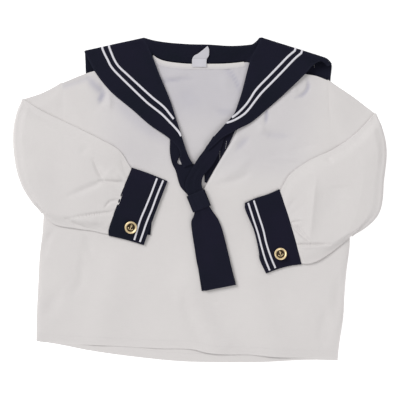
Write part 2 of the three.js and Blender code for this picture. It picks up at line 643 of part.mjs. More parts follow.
// Place on the rounded fold from the flap, at no turn, to the top of the shoulder, at a full turn
function foldPlace(top, outward, turn) {
  const radius = (top.z - CLOTH / 2) / 2;
  const angle = Math.PI * turn;
  const middle = top.clone().addScaledVector(outward, radius * Math.sin(angle))
    .setZ(CLOTH / 2 + radius * (1 - Math.cos(angle)));
  const facing = outward.clone().multiplyScalar(Math.sin(angle)).addScaledVector(UP, -Math.cos(angle));
  return { middle, facing };
}

function collar() {
  const last = COLLAR_COLUMNS.length - 1;
  const folds = COLLAR_COLUMNS.map((column) => collarTop(column, 0));
  const outwards = folds.map((_, column) =>
    foldOutward(folds[Math.max(column - 1, 0)], folds[Math.min(column + 1, last)]));
  const flapLine = (section) => smoothCurve([FLAP_SECTIONS[section].right, FLAP_SECTIONS[section].left]);
  const flapLines = FLAP_SECTIONS.map((_, section) => flapLine(section));
  const width = folds[last].x - folds[0].x;
  const topRow = FLAP_STEPS + TURN_STEPS;
  const neckRow = topRow + 1 / LAPEL_STEP;
  const rows = topRow + (RIGHT_LAPEL.length - 1) / LAPEL_STEP;
  const placeAt = (column, row) => {
    if (row < FLAP_STEPS) {
      const share = (folds[column].x - folds[0].x) / width;
      const run = new THREE.CatmullRomCurve3([folds[column].clone().setZ(0),
        ...flapLines.map((line) => line.getPointAt(share))], false, 'centripetal');
      return { middle: run.getPoint(1 - row / FLAP_STEPS).setZ(CLOTH / 2), facing: UP.clone().negate() };
    }
    if (row < topRow) return foldPlace(folds[column], outwards[column], (row - FLAP_STEPS) / TURN_STEPS);
    return { middle: collarTop(COLLAR_COLUMNS[column], (row - topRow) * LAPEL_STEP), facing: UP };
  };
  return clothLayer('collar', NAVY_COTTON, last, rows, (column, row, side) => {
    const { middle, facing } = placeAt(column, row);
    return middle.addScaledVector(facing, (side * CLOTH) / 2);
  }, (column, row) => row < neckRow || column < LAPEL_COLUMNS || column >= last - LAPEL_COLUMNS);
}

// Braid on a lapel: it starts on the shoulder fold and follows the lapel's own points
function lapelBraid(name, lapel, key) {
  const end = lapel.findIndex((row) => row[key] >= 1);
  const step = LAPEL_STEP / 2;
  const rows = BRAID_FOLD_STEPS + end / step;
  const halfShare = (place) => {
    const [outer, inner] = [0, 1].map((share) => lapelMiddle(lapel, share, place));
    return LAPEL_BRAID_WIDTH / 2 / outer.distanceTo(inner);
  };
  const fold = [0, 0.5, 1].map((share) => lapelMiddle(lapel, share, 0));
  const outward = foldOutward(fold[0], fold[2]);
  if (outward.y < 0) outward.negate();
  return clothLayer(name, WHITE_BRAID, 1, rows, (column, row, side) => {
    const place = Math.max(row - BRAID_FOLD_STEPS, 0) * step;
    const middleShare = between(lapel, place, (line) => line[key]);
    const half = halfShare(place);
    const limits = column ? [BRAID_LEAST_SHARE, BRAID_MOST_SHARE] : [0, BRAID_MOST_SHARE - half];
    const share = clamp(middleShare + (column ? half : -half), ...limits);
    const top = lapelMiddle(lapel, share, place);
    const turn = 0.5 + (0.5 * row) / BRAID_FOLD_STEPS;
    const { middle, facing } = row < BRAID_FOLD_STEPS
      ? foldPlace(top, outward, turn) : { middle: top, facing: UP };
    const over = CLOTH / 2 + SEAM_GAP + (side > 0 ? BRAID_CLOTH : 0);
    return middle.addScaledVector(facing, over);
  });
}

function neckBinding() {
  return flatLayer('neck_binding', WHITE_COTTON, 1, NECK_BINDING.length - 1,
    (column, row) => (column ? NECK_BINDING[row].lower : NECK_BINDING[row].upper),
    (x, y) => flapLift(x, y) + LAYER, BRAID_CLOTH);
}

function neckLabel() {
  return flatLayer('neck_label', WHITE_COTTON, 2, NECK_LABEL.length - 1,
    (column, row) => mixPoint(NECK_LABEL[row].left, NECK_LABEL[row].right, column / 2),
    (x, y, column, row) => NECK_LABEL[row].underside, BRAID_CLOTH);
}

function underCollar() {
  return flatBand('left_under_collar', NAVY_COTTON, UNDER_COLLAR, UNDER_COLLAR_COLUMNS, UNDER_COLLAR_STEPS,
    (x, y) => flapLift(x, y) + LAYER, CLOTH);
}

function tieEnd(name, table) {
  return flatBand(name, NAVY_COTTON, table, TIE_COLUMNS, TIE_STEPS,
    (x, y, place) => bodyTop(x, y) + between(table, place, (row) => row.over), CLOTH);
}

// Keeper: a short flattened loop round both ends of the tie
function tieKeeper() {
  const [middleX, middleY] = KEEPER.middle;
  const [alongX, alongY] = KEEPER.along;
  const sections = Array.from({ length: KEEPER_STEPS + 1 }, (_, step) => {
    const down = KEEPER.length * (step / KEEPER_STEPS - 0.5);
    const middles = Array.from({ length: KEEPER_COLUMNS + 1 }, (_unused, column) => {
      const across = KEEPER.halfWidth * ((2 * column) / KEEPER_COLUMNS - 1);
      const x = middleX + down * alongX - across * alongY;
      const y = middleY + down * alongY + across * alongX;
      return new THREE.Vector3(x, y, bodyTop(x, y) + KEEPER.over + KEEPER.height / 2);
    });
    return tubeSection(middles, middles.map(() => KEEPER.height), middles.map(() => UP), KEEPER.nose);
  });
  return clothTube('tie_keeper', NAVY_COTTON, sections);
}

const jumper = new THREE.Group();
jumper.name = 'sailor_jumper';
jumper.add(backPanel(), frontPanel(), collar(), neckBinding(), neckLabel(), underCollar());
for (const [side, sleeveTable, cuffMeasures, lapel, tie] of [
  ['right', RIGHT_SLEEVE, RIGHT_CUFF, RIGHT_LAPEL, RIGHT_TIE],
  ['left', LEFT_SLEEVE, LEFT_CUFF, LEFT_LAPEL, LEFT_TIE],
]) {
  jumper.add(
    sleeve(`${side}_sleeve`, sleeveTable),
    cuff(`${side}_cuff`, cuffMeasures),
    cuffBraid(`${side}_cuff_braid_inner`, cuffMeasures, CUFF_BRAIDS.inner),
    cuffBraid(`${side}_cuff_braid_outer`, cuffMeasures, CUFF_BRAIDS.outer),
    button(`${side}_cuff_button`, cuffMeasures.button),
    lapelBraid(`${side}_collar_braid_inner`, lapel, 'innerBraid'),
    lapelBraid(`${side}_collar_braid_outer`, lapel, 'outerBraid'),
    tieEnd(`${side}_tie_end`, tie),
  );
}
jumper.add(tieKeeper());

export default jumper;
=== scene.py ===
# %% [markdown]
# # A child's sailor jumper, laid flat
#
# The jumper lies on its back, front up, with both sleeves folded over at the elbow. A maker cuts
# it from thin white cotton and closely woven navy cotton, and sews it up in layers. This lesson
# models it the same way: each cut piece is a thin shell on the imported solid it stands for, and
# the creases, seams, stitches and weave are added to it. Sizes are in millimetres until a mesh
# is made. "Right" and "left" are the wearer's: the wearer's right is on the picture's left.

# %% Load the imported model
import json
import math

import bpy
import numpy as np
from mathutils import Euler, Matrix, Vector

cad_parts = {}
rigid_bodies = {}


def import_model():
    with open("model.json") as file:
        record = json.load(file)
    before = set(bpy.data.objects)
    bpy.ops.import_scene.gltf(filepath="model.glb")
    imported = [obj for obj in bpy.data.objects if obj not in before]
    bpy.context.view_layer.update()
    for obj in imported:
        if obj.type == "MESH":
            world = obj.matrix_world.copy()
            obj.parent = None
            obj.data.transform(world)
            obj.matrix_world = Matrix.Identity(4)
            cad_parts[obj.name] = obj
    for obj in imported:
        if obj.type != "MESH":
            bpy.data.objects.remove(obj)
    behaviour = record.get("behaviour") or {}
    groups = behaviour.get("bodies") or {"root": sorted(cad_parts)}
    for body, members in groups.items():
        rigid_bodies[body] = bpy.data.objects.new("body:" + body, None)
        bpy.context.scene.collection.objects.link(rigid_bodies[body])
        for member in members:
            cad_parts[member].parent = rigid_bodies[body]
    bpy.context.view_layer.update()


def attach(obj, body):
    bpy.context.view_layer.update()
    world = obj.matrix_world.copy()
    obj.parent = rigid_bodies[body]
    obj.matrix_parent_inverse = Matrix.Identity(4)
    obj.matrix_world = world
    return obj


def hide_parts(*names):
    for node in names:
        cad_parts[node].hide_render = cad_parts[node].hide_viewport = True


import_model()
MM = 0.001

# %% [markdown]
# ## Lines through measured points
#
# A seam or a fold is known at a few points only. A centripetal Catmull-Rom curve goes through
# every one of them without loops or overshoot, which a plain Bezier spline doesn't promise. The
# same curve shaped the solids, so the shells land on them.

# %% Smooth lines
UP = np.array([0.0, 0.0, 1.0])
LINE_SAMPLES = 201


def smooth_line(points, shares):
    """Points of a smooth line through the first axis of points, at shares of its run."""
    points = np.asarray(points, float)
    ends = np.concatenate([[2 * points[0] - points[1]], points, [2 * points[-1] - points[-2]]])
    place = np.clip(np.asarray(shares, float), 0, 1) * (len(points) - 1)
    span = np.minimum(place.astype(int), len(points) - 2)
    part = (place - span).reshape((-1,) + (1,) * (points.ndim - 1))
    before, start, end, after = (ends[span + step] for step in range(4))
    gaps = [np.sqrt(np.maximum(np.linalg.norm(b - a, axis=-1, keepdims=True), 1e-9))
            for a, b in ((before, start), (start, end), (end, after))]
    leave = (start - before) / gaps[0] - (end - before) / (gaps[0] + gaps[1]) + (end - start) / gaps[1]
    arrive = (end - start) / gaps[1] - (after - start) / (gaps[1] + gaps[2]) + (after - end) / gaps[2]
    leave, arrive = leave * gaps[1], arrive * gaps[1]
    square = (3 * (end - start) - 2 * leave - arrive) * part**2
    cube = (2 * (start - end) + leave + arrive) * part**3
    return start + leave * part + square + cube


def apart(first, second):
    return np.linalg.norm(first - second, axis=-1)


def run_along(line):
    """Length along a line at each of its points."""
    return np.concatenate([[0], np.cumsum(apart(line[1:], line[:-1]))])


def even_line(points, shares):
    """The same line, with the shares measured along its length."""
    steps = np.linspace(0, 1, LINE_SAMPLES)
    along = run_along(smooth_line(points, steps))
    return smooth_line(points, np.interp(np.asarray(shares) * along[-1], along, steps))


print("a line's middle:", smooth_line([(0, 0), (10, 4), (20, 0)], [0.5])[0].round(2))

# %% Soft steps, tables and directions


def soft_step(value):
    value = np.clip(value, 0, 1)
    return value * value * (3 - 2 * value)


def round_off(inset, reach):
    """1 at an edge and 0 from a reach inwards, curved as the side of a folded cloth is."""
    return np.clip(1 - inset / reach, 0, 1) ** 2


def hump(distance, width):
    return np.exp(-((distance / width) ** 2))


def mix(a, b, share):
    return a + (b - a) * share


def read_between(values, places):
    return np.interp(places, np.arange(len(values)), values)


def column_of(rows, column, places):
    """A column of a table, read between its rows. A row that ends before it counts as 0."""
    return read_between([row[column] if column < len(row) else 0 for row in rows], places)


def unit(vectors):
    return vectors / np.linalg.norm(vectors, axis=-1, keepdims=True)


def level_unit(vectors):
    """Vectors laid level and made one long."""
    return unit(vectors * (1, 1, 0))


def upward(points):
    """The upward direction, once for each point."""
    return np.broadcast_to(UP, points.shape)


def full_turn(count):
    return np.linspace(0, 2 * np.pi, count, endpoint=False)


def line_distance(x, y, points):
    """Distance of each place from a smooth line."""
    line = smooth_line(points, np.linspace(0, 1, LINE_SAMPLES))
    return np.hypot(x[..., None] - line[:, 0], y[..., None] - line[:, 1]).min(axis=-1)


print("a soft step at a quarter:", soft_step(0.25))

# %% [markdown]
# ## The layers over the floor
#
# The collar's back flap lies lowest, then the back, then the front, and the layers over the flap
# are lifted by it. A cloth simulation could stack them too, but it would let thin layers sink
# into each other. One height function gives the top of the front instead, so that whatever lies
# on it, a sleeve, the tie or a cuff, can be placed from it.

# %% Heights of the layers
WALL, SEAM_GAP, LAY_GAP, TUBE_GAP = 1.2, 0.3, 0.5, 0.6
LAYER = WALL + SEAM_GAP
TUBE = 2 * WALL + TUBE_GAP
FRONT_TOP = WALL + LAYER
TOUCH = 0.05
FLAP = {"right_top": -134, "left_top": 152, "top": 172, "right_bottom": -121, "left_bottom": 136,
        "bottom": 28.5}
LIFT_CLEAR, LIFT_RAMP = 6, 40
# one row a fold: its start, its end, half width and height
FRONT_FOLDS = [
    ((-14, -98), (6, -172), 17, 1.6),
    ((62, -92), (84, -178), 18, 1.4),
    ((-96, -70), (-118, -160), 18, 1.3),
]


def beyond_flap(x, y):
    """How far each place lies past the flap's right, left and lower edge."""
    down = np.clip((FLAP["top"] - y) / (FLAP["top"] - FLAP["bottom"]), 0, 1)
    right = mix(FLAP["right_top"], FLAP["right_bottom"], down) - x
    left = x - mix(FLAP["left_top"], FLAP["left_bottom"], down)
    return right, left, FLAP["bottom"] - y


def flap_lift(x, y):
    right, left, low = beyond_flap(x, y)
    beyond = np.hypot(np.maximum(np.maximum(right, left), 0), np.maximum(low, 0))
    return LAYER * (1 - soft_step((beyond - LIFT_CLEAR) / LIFT_RAMP))


def fold_lift(x, y):
    lift = np.zeros(np.broadcast(x, y).shape)
    for (x0, y0), (x1, y1), width, height in FRONT_FOLDS:
        run_x, run_y = x1 - x0, y1 - y0
        share = np.clip(((x - x0) * run_x + (y - y0) * run_y) / (run_x**2 + run_y**2), 0, 1)
        away = np.hypot(x - x0 - share * run_x, y - y0 - share * run_y)
        lift += height * hump(away, width)
    return lift


def body_top(x, y):
    return flap_lift(x, y) + fold_lift(x, y) + FRONT_TOP


print("front's top over the floor, mm:", round(float(body_top(0.0, 0.0)), 2))

# %% [markdown]
# ## Creases
#
# Cotton that has been folded away keeps soft creases. Cloth simulation would give creases
# somewhere, but not where this jumper has them, so each one is a row in a table: the points it
# passes, its half width and its height. A trough has a height below zero, and a pair of widths
# makes its two sides unlike. A crease fades towards both ends. It is round, or pressed sharp if
# its row says so. Under the creases a slight unevenness comes from a few slow waves.

# %% Creases from a table
CREASE_STEPS, CREASE_REACH = 28, 3
CREASE_FADE, END_HEIGHT, END_WIDTH = 0.3, 0.35, 0.5


def crease_height(x, y, creases):
    """Height that a table of creases adds at each place."""
    total = np.zeros(x.shape)
    shares = np.linspace(0, 1, CREASE_STEPS)
    fades = mix(END_HEIGHT, 1, soft_step(np.minimum(shares, 1 - shares) / CREASE_FADE))
    for points, width, height, *kind in creases:
        left, right = width if isinstance(width, tuple) else (width, width)
        line = smooth_line(points, shares)
        heading = np.gradient(line, axis=0)
        reach = CREASE_REACH * max(left, right)
        low, high = line.min(axis=0) - reach, line.max(axis=0) + reach
        near = (x > low[0]) & (x < high[0]) & (y > low[1]) & (y < high[1])
        if not near.any():
            continue
        off_x, off_y = x[near][:, None] - line[:, 0], y[near][:, None] - line[:, 1]
        away = np.hypot(off_x, off_y)
        nearest = away.argmin(axis=1)
        pick = np.arange(len(nearest)), nearest
        on_left = heading[nearest, 0] * off_y[pick] > heading[nearest, 1] * off_x[pick]
        fade = fades[nearest]
        wide = np.where(on_left, left, right) * mix(END_WIDTH, 1, fade)
        shape = np.exp(-away[pick] / wide) if "sharp" in kind else hump(away[pick], wide)
        total[near] += height * fade * shape
    return total


one_crease = [([(-9, 0), (0, 0), (9, 0)], 2.0, -1.0)]
print("a crease, middle and flank:", crease_height(np.zeros(2), np.array([0, 2]), one_crease).round(2))

# %% Slow unevenness
SLOW_SIZE, SLOW_CALM = 0.3, 9
SLOW_WAVES = [(0.021, 0.034, 0.4), (-0.043, 0.019, 2.1), (0.058, 0.047, 4.4), (-0.017, 0.071, 1.3),
              (0.083, -0.039, 5.2), (0.061, 0.093, 3.3)]


def slow_height(x, y):
    """Height of the slow waves. The quicker ones are lower."""
    waves = sum(np.sin(a * x + b * y + start) / (1 + SLOW_CALM * abs(a)) for a, b, start in SLOW_WAVES)
    return SLOW_SIZE * waves


print("slow height at 0, mm:", round(float(slow_height(0.0, 0.0)), 3))

# %% [markdown]
# ## From a grid of points to a closed shell
#
# Every cloth piece here is a grid of points with an upper and a lower face, closed by a rim. That
# is quicker and more exact than a plane with a Solidify modifier, because the thickness can
# change from place to place: a turned-up hem is twice as thick as the cloth beside it.

# %% Faces of a grid and its closed shell


def grid_faces(rows, columns, wrap=False, keep=None):
    """Corners of the cells of a grid, each turned the same way round."""
    cells = columns if wrap else columns - 1
    row, column = np.meshgrid(np.arange(rows - 1), np.arange(cells), indexing="ij")
    if keep is not None:
        row, column = row[keep], column[keep]
    after = (column + 1) % columns
    corners = [row * columns + column, row * columns + after,
               (row + 1) * columns + after, (row + 1) * columns + column]
    return np.stack(corners, axis=-1).reshape(-1, 4)


def close_shell(faces, count):
    """The faces, the same faces turned over on the lower points, and a rim round the edges."""
    edges = np.concatenate([faces[:, [k, (k + 1) % 4]] for k in range(4)])
    keys = edges[:, 0] * count + edges[:, 1]
    back = edges[:, 1] * count + edges[:, 0]
    rim = edges[~np.isin(keys, back)]
    sides = np.stack([rim[:, 1], rim[:, 0], rim[:, 0] + count, rim[:, 1] + count], axis=1)
    return np.concatenate([faces, faces[:, ::-1] + count, sides])


print("cells in a 3 by 4 grid:", len(grid_faces(3, 4)))

# %% Mesh objects
pieces, materials = {}, {}
RIM_ANGLE = math.radians(50)


def new_object(name, data):
    thing = bpy.data.objects.new(name, data)
    bpy.context.scene.collection.objects.link(thing)
    return thing


def add_mesh(name, points, faces, material, run=None, **marks):
    """A smooth mesh object from points in mm. run is the cloth's own length and width at each
    point, which the weave follows. Each mark is a value a point that a material reads."""
    used, faces = np.unique(faces, return_inverse=True)
    faces = faces.reshape(-1, 4)
    mesh = bpy.data.meshes.new(name)
    mesh.from_pydata((points[used] * MM).tolist(), [], faces.tolist())
    mesh.shade_smooth()
    mesh.set_sharp_from_angle(angle=RIM_ANGLE)
    if run is not None:
        corners = np.empty(len(mesh.loops), np.int32)
        mesh.loops.foreach_get("vertex_index", corners)
        layer = mesh.uv_layers.new(name="cloth_run")
        layer.data.foreach_set("uv", (run[used][corners] * MM).astype(np.float32).ravel())
    for mark, values in marks.items():
        layer = mesh.attributes.new(mark, "FLOAT", "POINT")
        layer.data.foreach_set("value", values[used].astype(np.float32))
    mesh.materials.append(materials[material])
    pieces[name] = new_object(name, mesh)
    return pieces[name]


def add_shell(name, upper, lower, material, run, wrap=False, keep=None, **marks):
    """Closed shell between two grids of points, with its faces turned outwards."""
    rows, columns = upper.shape[:2]
    closed = close_shell(grid_faces(rows, columns, wrap, keep), rows * columns)
    points = np.concatenate([upper.reshape(-1, 3), lower.reshape(-1, 3)])
    corners = points[closed]
    volume = np.einsum("ij,ij->i", corners[:, 0], np.cross(corners[:, 1], corners[:, 2])).sum()
    volume += np.einsum("ij,ij->i", corners[:, 0], np.cross(corners[:, 2], corners[:, 3])).sum()
    if volume < 0:
        closed = closed[:, ::-1]
    both = {mark: np.tile(np.broadcast_to(values, upper.shape[:2]).ravel(), 2)
            for mark, values in marks.items()}
    return add_mesh(name, points, closed, material, np.tile(run.reshape(-1, 2), (2, 1)), **both)


def print_faces(name):
    print(f"{name}: {len(pieces[name].data.polygons)} faces")


print("sharp from, degrees:", round(math.degrees(RIM_ANGLE)))

# %% Measures on a grid
FIT_EASE = 1e-4


def measured_run(points):
    """Length along the columns and width along the rows of a grid, from its own spacing."""
    across = np.concatenate([[0], np.cumsum(apart(points[:, 1:], points[:, :-1]).mean(axis=0))])
    along = np.concatenate([[0], np.cumsum(apart(points[1:], points[:-1]).mean(axis=1))])
    return np.stack(np.meshgrid(across, along, indexing="xy"), axis=-1)


def fine_ends(count, edge=0.004):
    """Shares from 0 to 1 with an extra one close to each end, so that an edge can be rounded."""
    return np.concatenate([[0, edge], np.linspace(3 * edge, 1 - 3 * edge, count), [1 - edge, 1]])


def height_over(plan, surface, spread=3.0):
    """Height of a surface of points at each place, from a plane fitted to the points round it,
    and how far away its nearest point is."""
    flat, places = surface.reshape(-1, 3), plan.reshape(-1, 2)
    off = flat[:, :2] - places[:, None]
    away = np.linalg.norm(off, axis=-1)
    nearest = away.min(axis=1)
    weight = np.exp((nearest[:, None] ** 2 - away**2) / spread**2)
    terms = np.concatenate([np.ones((*away.shape, 1)), off], axis=-1)
    weighted = terms * weight[..., None]
    moment = np.einsum("nmi,nmj->nij", weighted, terms) + FIT_EASE * np.eye(3)
    total = np.einsum("nmi,m->ni", weighted, flat[:, 2])
    height = np.linalg.solve(moment, total[..., None])[:, 0, 0]
    return height.reshape(plan.shape[:-1]), nearest.reshape(plan.shape[:-1])


print("fine ends of a row of 4:", fine_ends(2))

# %% [markdown]
# ## Camera, floor and light
#
# The photograph looks straight down. A camera 2 m up with a long lens sees the garment almost
# without perspective. Large soft lights keep shadows soft, and the main one stands at the upper
# left, because the creases are brighter on that side.

# %% Camera over the middle
VIEW_WIDTH = 0.460
CAMERA_HEIGHT = 2.0
CLOTH_HEIGHT = 0.004
SENSOR = 36.0

camera_data = bpy.data.cameras.new("camera")
camera_data.sensor_width = SENSOR
camera_data.lens = SENSOR * CAMERA_HEIGHT / VIEW_WIDTH
camera_data.clip_start, camera_data.clip_end = 0.05, 60
camera = new_object("camera", camera_data)
camera.location = (0, 0, CAMERA_HEIGHT + CLOTH_HEIGHT)
bpy.context.scene.camera = camera
print("lens, mm:", round(camera_data.lens, 1))

# %% Soft lights and a pale surround
LIGHTS = [
    {"name": "window_light", "place": (-3.4, 3.0, 3.8), "size": 3.2, "power": 230.0},
    {"name": "fill_light", "place": (1.3, -2.1, 2.2), "size": 2.4, "power": 30.0},
]
ROOM_LIGHT = 0.54
for light in LIGHTS:
    data = bpy.data.lights.new(light["name"], "AREA")
    data.shape = "DISK"
    data.size = light["size"]
    data.energy = light["power"]
    lamp = new_object(light["name"], data)
    lamp.location = light["place"]
    lamp.rotation_euler = (-Vector(light["place"])).to_track_quat("-Z", "Y").to_euler()

world = bpy.data.worlds.new("pale_room")
bpy.context.scene.world = world
world.use_nodes = True
world.node_tree.nodes["Background"].inputs["Color"].default_value = (1.0, 1.0, 1.0, 1)
world.node_tree.nodes["Background"].inputs["Strength"].default_value = ROOM_LIGHT
bpy.context.scene.view_settings.view_transform = "Standard"
bpy.context.scene.view_settings.look = "None"
print("lights:", [light["name"] for light in LIGHTS])

# %% [markdown]
# ## Shader effects that several cloths share
#
# Weave, small rumples and wear belong to every cloth here, each at its own scale, so each is a
# node group with named inputs. The weave reads the cloth's own length and width, so it turns
# with a sleeve and goes round a fold. An image could do the same, but a formula stays sharp at
# any distance.

# %% Helpers for node groups


def new_group(name, inputs, outputs):
    """An empty shader group with its sockets, and its two end nodes."""
    group = bpy.data.node_groups.new(name, "ShaderNodeTree")
    for socket, kind, value in inputs:
        group.interface.new_socket(socket, in_out="INPUT", socket_type=kind).default_value = value
    for socket, kind in outputs:
        group.interface.new_socket(socket, in_out="OUTPUT", socket_type=kind)
    return group, group.nodes.new("NodeGroupInput").outputs, group.nodes.new("NodeGroupOutput").inputs


def feed(tree, socket, value):
    """Links a socket to an output, or sets it to a plain value."""
    if isinstance(value, bpy.types.NodeSocket):
        tree.links.new(value, socket)
    elif value is not None:
        socket.default_value = value


def calculate(tree, operation, *values):
    node = tree.nodes.new("ShaderNodeMath")
    node.operation = operation
    for socket, value in zip(node.inputs, values):
        feed(tree, socket, value)
    return node.outputs[0]


def noise(tree, vector, scale, detail=2.0, roughness=0.5):
    node = tree.nodes.new("ShaderNodeTexNoise")
    node.inputs["Detail"].default_value = detail
    node.inputs["Roughness"].default_value = roughness
    feed(tree, node.inputs["Vector"], vector)
    feed(tree, node.inputs["Scale"], scale)
    return node.outputs["Fac"]


def blend_colors(tree, share, first, second, mode="MIX"):
    node = tree.nodes.new("ShaderNodeMix")
    node.data_type = "RGBA"
    node.blend_type = mode
    feed(tree, node.inputs["Factor"], share)
    feed(tree, node.inputs[6], first)
    feed(tree, node.inputs[7], second)
    return node.outputs[2]


def object_place(tree):
    """Each point's own place in metres, so that noise has a real size."""
    return tree.nodes.new("ShaderNodeTexCoord").outputs["Object"]


FLOAT, COLOR = "NodeSocketFloat", "NodeSocketColor"
print("kinds of socket:", FLOAT, COLOR)

# %% The weave
SLUB_SCALE, SLUB_STRETCH = 2600.0, 0.03
weave, given, made = new_group(
    "cloth_weave",
    [("Pitch", FLOAT, 0.0005), ("Twill", FLOAT, 0.0), ("Slub", FLOAT, 0.3)],
    [("Height", FLOAT), ("Thread", FLOAT)])
run_node = weave.nodes.new("ShaderNodeUVMap")
run_node.uv_map = "cloth_run"
split = weave.nodes.new("ShaderNodeSeparateXYZ")
weave.links.new(run_node.outputs["UV"], split.inputs[0])
turns = calculate(weave, "DIVIDE", 2 * math.pi, given["Pitch"])
warp = calculate(weave, "MULTIPLY", split.outputs["X"], turns)
weft = calculate(weave, "MULTIPLY", split.outputs["Y"], turns)
plain = calculate(weave, "MULTIPLY", calculate(weave, "SINE", warp), calculate(weave, "SINE", weft))
ribs = calculate(weave, "SINE", calculate(weave, "ADD", warp, weft))
difference = calculate(weave, "SUBTRACT", ribs, plain)
pattern = calculate(weave, "MULTIPLY_ADD", difference, given["Twill"], plain)
squash = weave.nodes.new("ShaderNodeCombineXYZ")
feed(weave, squash.inputs["X"], calculate(weave, "MULTIPLY", split.outputs["X"], SLUB_STRETCH))
feed(weave, squash.inputs["Y"], split.outputs["Y"])
slubs = noise(weave, squash.outputs[0], SLUB_SCALE, 1.0)
level = calculate(weave, "MULTIPLY_ADD", pattern, 0.5, 0.5)
feed(weave, made["Height"], calculate(weave, "MULTIPLY_ADD", slubs, given["Slub"], level))
feed(weave, made["Thread"], slubs)
print("weave outputs:", [socket.name for socket in made if socket.name])

# %% Small rumples
FINE_STEP, FINE_SHARE = 6.0, 0.18
rumple, given, made = new_group("cloth_rumple", [("Scale", FLOAT, 60.0)], [("Height", FLOAT)])
place = object_place(rumple)
broad = noise(rumple, place, given["Scale"], 3.0, 0.55)
fine = noise(rumple, place, calculate(rumple, "MULTIPLY", given["Scale"], FINE_STEP), 2.0)
feed(rumple, made["Height"], calculate(rumple, "MULTIPLY_ADD", fine, FINE_SHARE, broad))
print("rumple outputs:", [socket.name for socket in made if socket.name])

# %% [markdown]
# Thin white cotton lets what lies beneath it show. Over the navy back flap it looks darker and
# a little blue. Real translucency would need many more samples and leaves nothing in an exported
# colour, so each point carries a mark that says how much navy lies under it, and the colour group
# tints the cloth there. The same mark also holds painted shade: it darkens the chest and the top
# of the neck opening near the collar, the creases, and the cloth beside the collar's edge. A
# second mark says where the cloth is rubbed, along folds and edges. On white cotton its lighter
# colour is a painted highlight as well as wear.

# %% Patchy colour, wear, painted highlight, show-through and painted shade
PATCH_SCALE, PATCH_START, PATCH_END = 14.0, 0.35, 0.65
RUB_SCALE = 420.0
patches, given, made = new_group(
    "cloth_patches",
    [("Base", COLOR, (0.5, 0.5, 0.5, 1)), ("Second", COLOR, (0.4, 0.4, 0.4, 1)),
     ("Rubbed", COLOR, (0.6, 0.6, 0.6, 1)), ("Beneath", COLOR, (1.0, 1.0, 1.0, 1)),
     ("Rub", FLOAT, 0.5), ("Thread", FLOAT, 0.5), ("Thread contrast", FLOAT, 0.1)],
    [("Color", COLOR)])
place = object_place(patches)
broad = patches.nodes.new("ShaderNodeMapRange")
broad.inputs["From Min"].default_value = PATCH_START
broad.inputs["From Max"].default_value = PATCH_END
feed(patches, broad.inputs["Value"], noise(patches, place, PATCH_SCALE, 3.0, 0.6))
tone = blend_colors(patches, broad.outputs["Result"], given["Base"], given["Second"])


def read_mark(tree, mark):
    node = tree.nodes.new("ShaderNodeAttribute")
    node.attribute_name = mark
    return node.outputs["Fac"]


uneven = noise(patches, place, RUB_SCALE, 3.0, 0.7)
# rubbed tone: wear on navy and braid, and on white cotton a lighter painted highlight along edges and folds
rubbing_and_highlight = calculate(patches, "MULTIPLY", read_mark(patches, "worn"), uneven)
rubbing_and_highlight = calculate(patches, "MULTIPLY", rubbing_and_highlight, given["Rub"])
tone = blend_colors(patches, rubbing_and_highlight, tone, given["Rubbed"])
# tint for what lies beneath: navy show-through and painted shade
tone = blend_colors(patches, read_mark(patches, "beneath"), tone, given["Beneath"], "MULTIPLY")
darker = calculate(patches, "SUBTRACT", given["Thread"], 0.5)
level = patches.nodes.new("ShaderNodeHueSaturation")
feed(patches, level.inputs["Value"],
     calculate(patches, "MULTIPLY_ADD", darker, given["Thread contrast"], 1.0))
feed(patches, level.inputs["Color"], tone)
feed(patches, made["Color"], level.outputs["Color"])
print("groups:", [group.name for group in bpy.data.node_groups])

# %% [markdown]
# ## The cloths
#
# Each cloth is one Principled shader: colour from the patches, a bump from the rumples and a
# finer bump from the weave. White cotton is woven plain. The navy cloth is a fine twill, and the
# braid is ribbed tape. All of them are matt, so there is no sheen and the highlights are low.

# %% Colours and weaves of the cloths
USUAL = {"beneath": (1.0, 1.0, 1.0), "twill": 0.0}
CLOTHS = {
    "white_cotton": {
        # the white cotton's lighter rubbed colour is a painted highlight as well as wear
        "base": (0.636, 0.611, 0.603), "second": (0.622, 0.597, 0.591), "rubbed": (0.80, 0.77, 0.76),
        # bluish grey tint for what lies beneath: navy show-through and painted shade
        "beneath": (0.66, 0.67, 0.78), "rub": 0.5, "pitch": 0.00052, "slub": 0.35,
        "contrast": 0.05, "rumple": 70.0, "rumple_mm": 0.35, "weave_mm": 0.05, "roughness": 0.9,
        "specular": 0.15},
    "navy_cotton": {
        "base": (0.0060, 0.0074, 0.0150), "second": (0.0084, 0.0080, 0.0190),
        "rubbed": (0.024, 0.026, 0.045), "rub": 0.6, "pitch": 0.00060,
        "twill": 1.0, "slub": 0.3, "contrast": 0.35, "rumple": 60.0, "rumple_mm": 0.30,
        "weave_mm": 0.07, "roughness": 0.8, "specular": 0.10},
    "white_braid": {
        "base": (0.67, 0.66, 0.71), "second": (0.64, 0.63, 0.68), "rubbed": (0.58, 0.57, 0.60),
        "rub": 0.4, "pitch": 0.00045, "slub": 0.2,
        "contrast": 0.06, "rumple": 200.0, "rumple_mm": 0.03, "weave_mm": 0.06, "roughness": 0.7,
        "specular": 0.2},
    "label_tape": {
        "base": (0.55, 0.54, 0.58), "second": (0.51, 0.50, 0.54), "rubbed": (0.54, 0.53, 0.56),
        "rub": 0.3, "pitch": 0.00030, "slub": 0.1,
        "contrast": 0.05, "rumple": 150.0, "rumple_mm": 0.05, "weave_mm": 0.02, "roughness": 0.5,
        "specular": 0.3},
}
print("threads to a centimetre:", {name: round(10 * MM / cloth["pitch"]) for name, cloth in CLOTHS.items()})

# %% Cloth materials


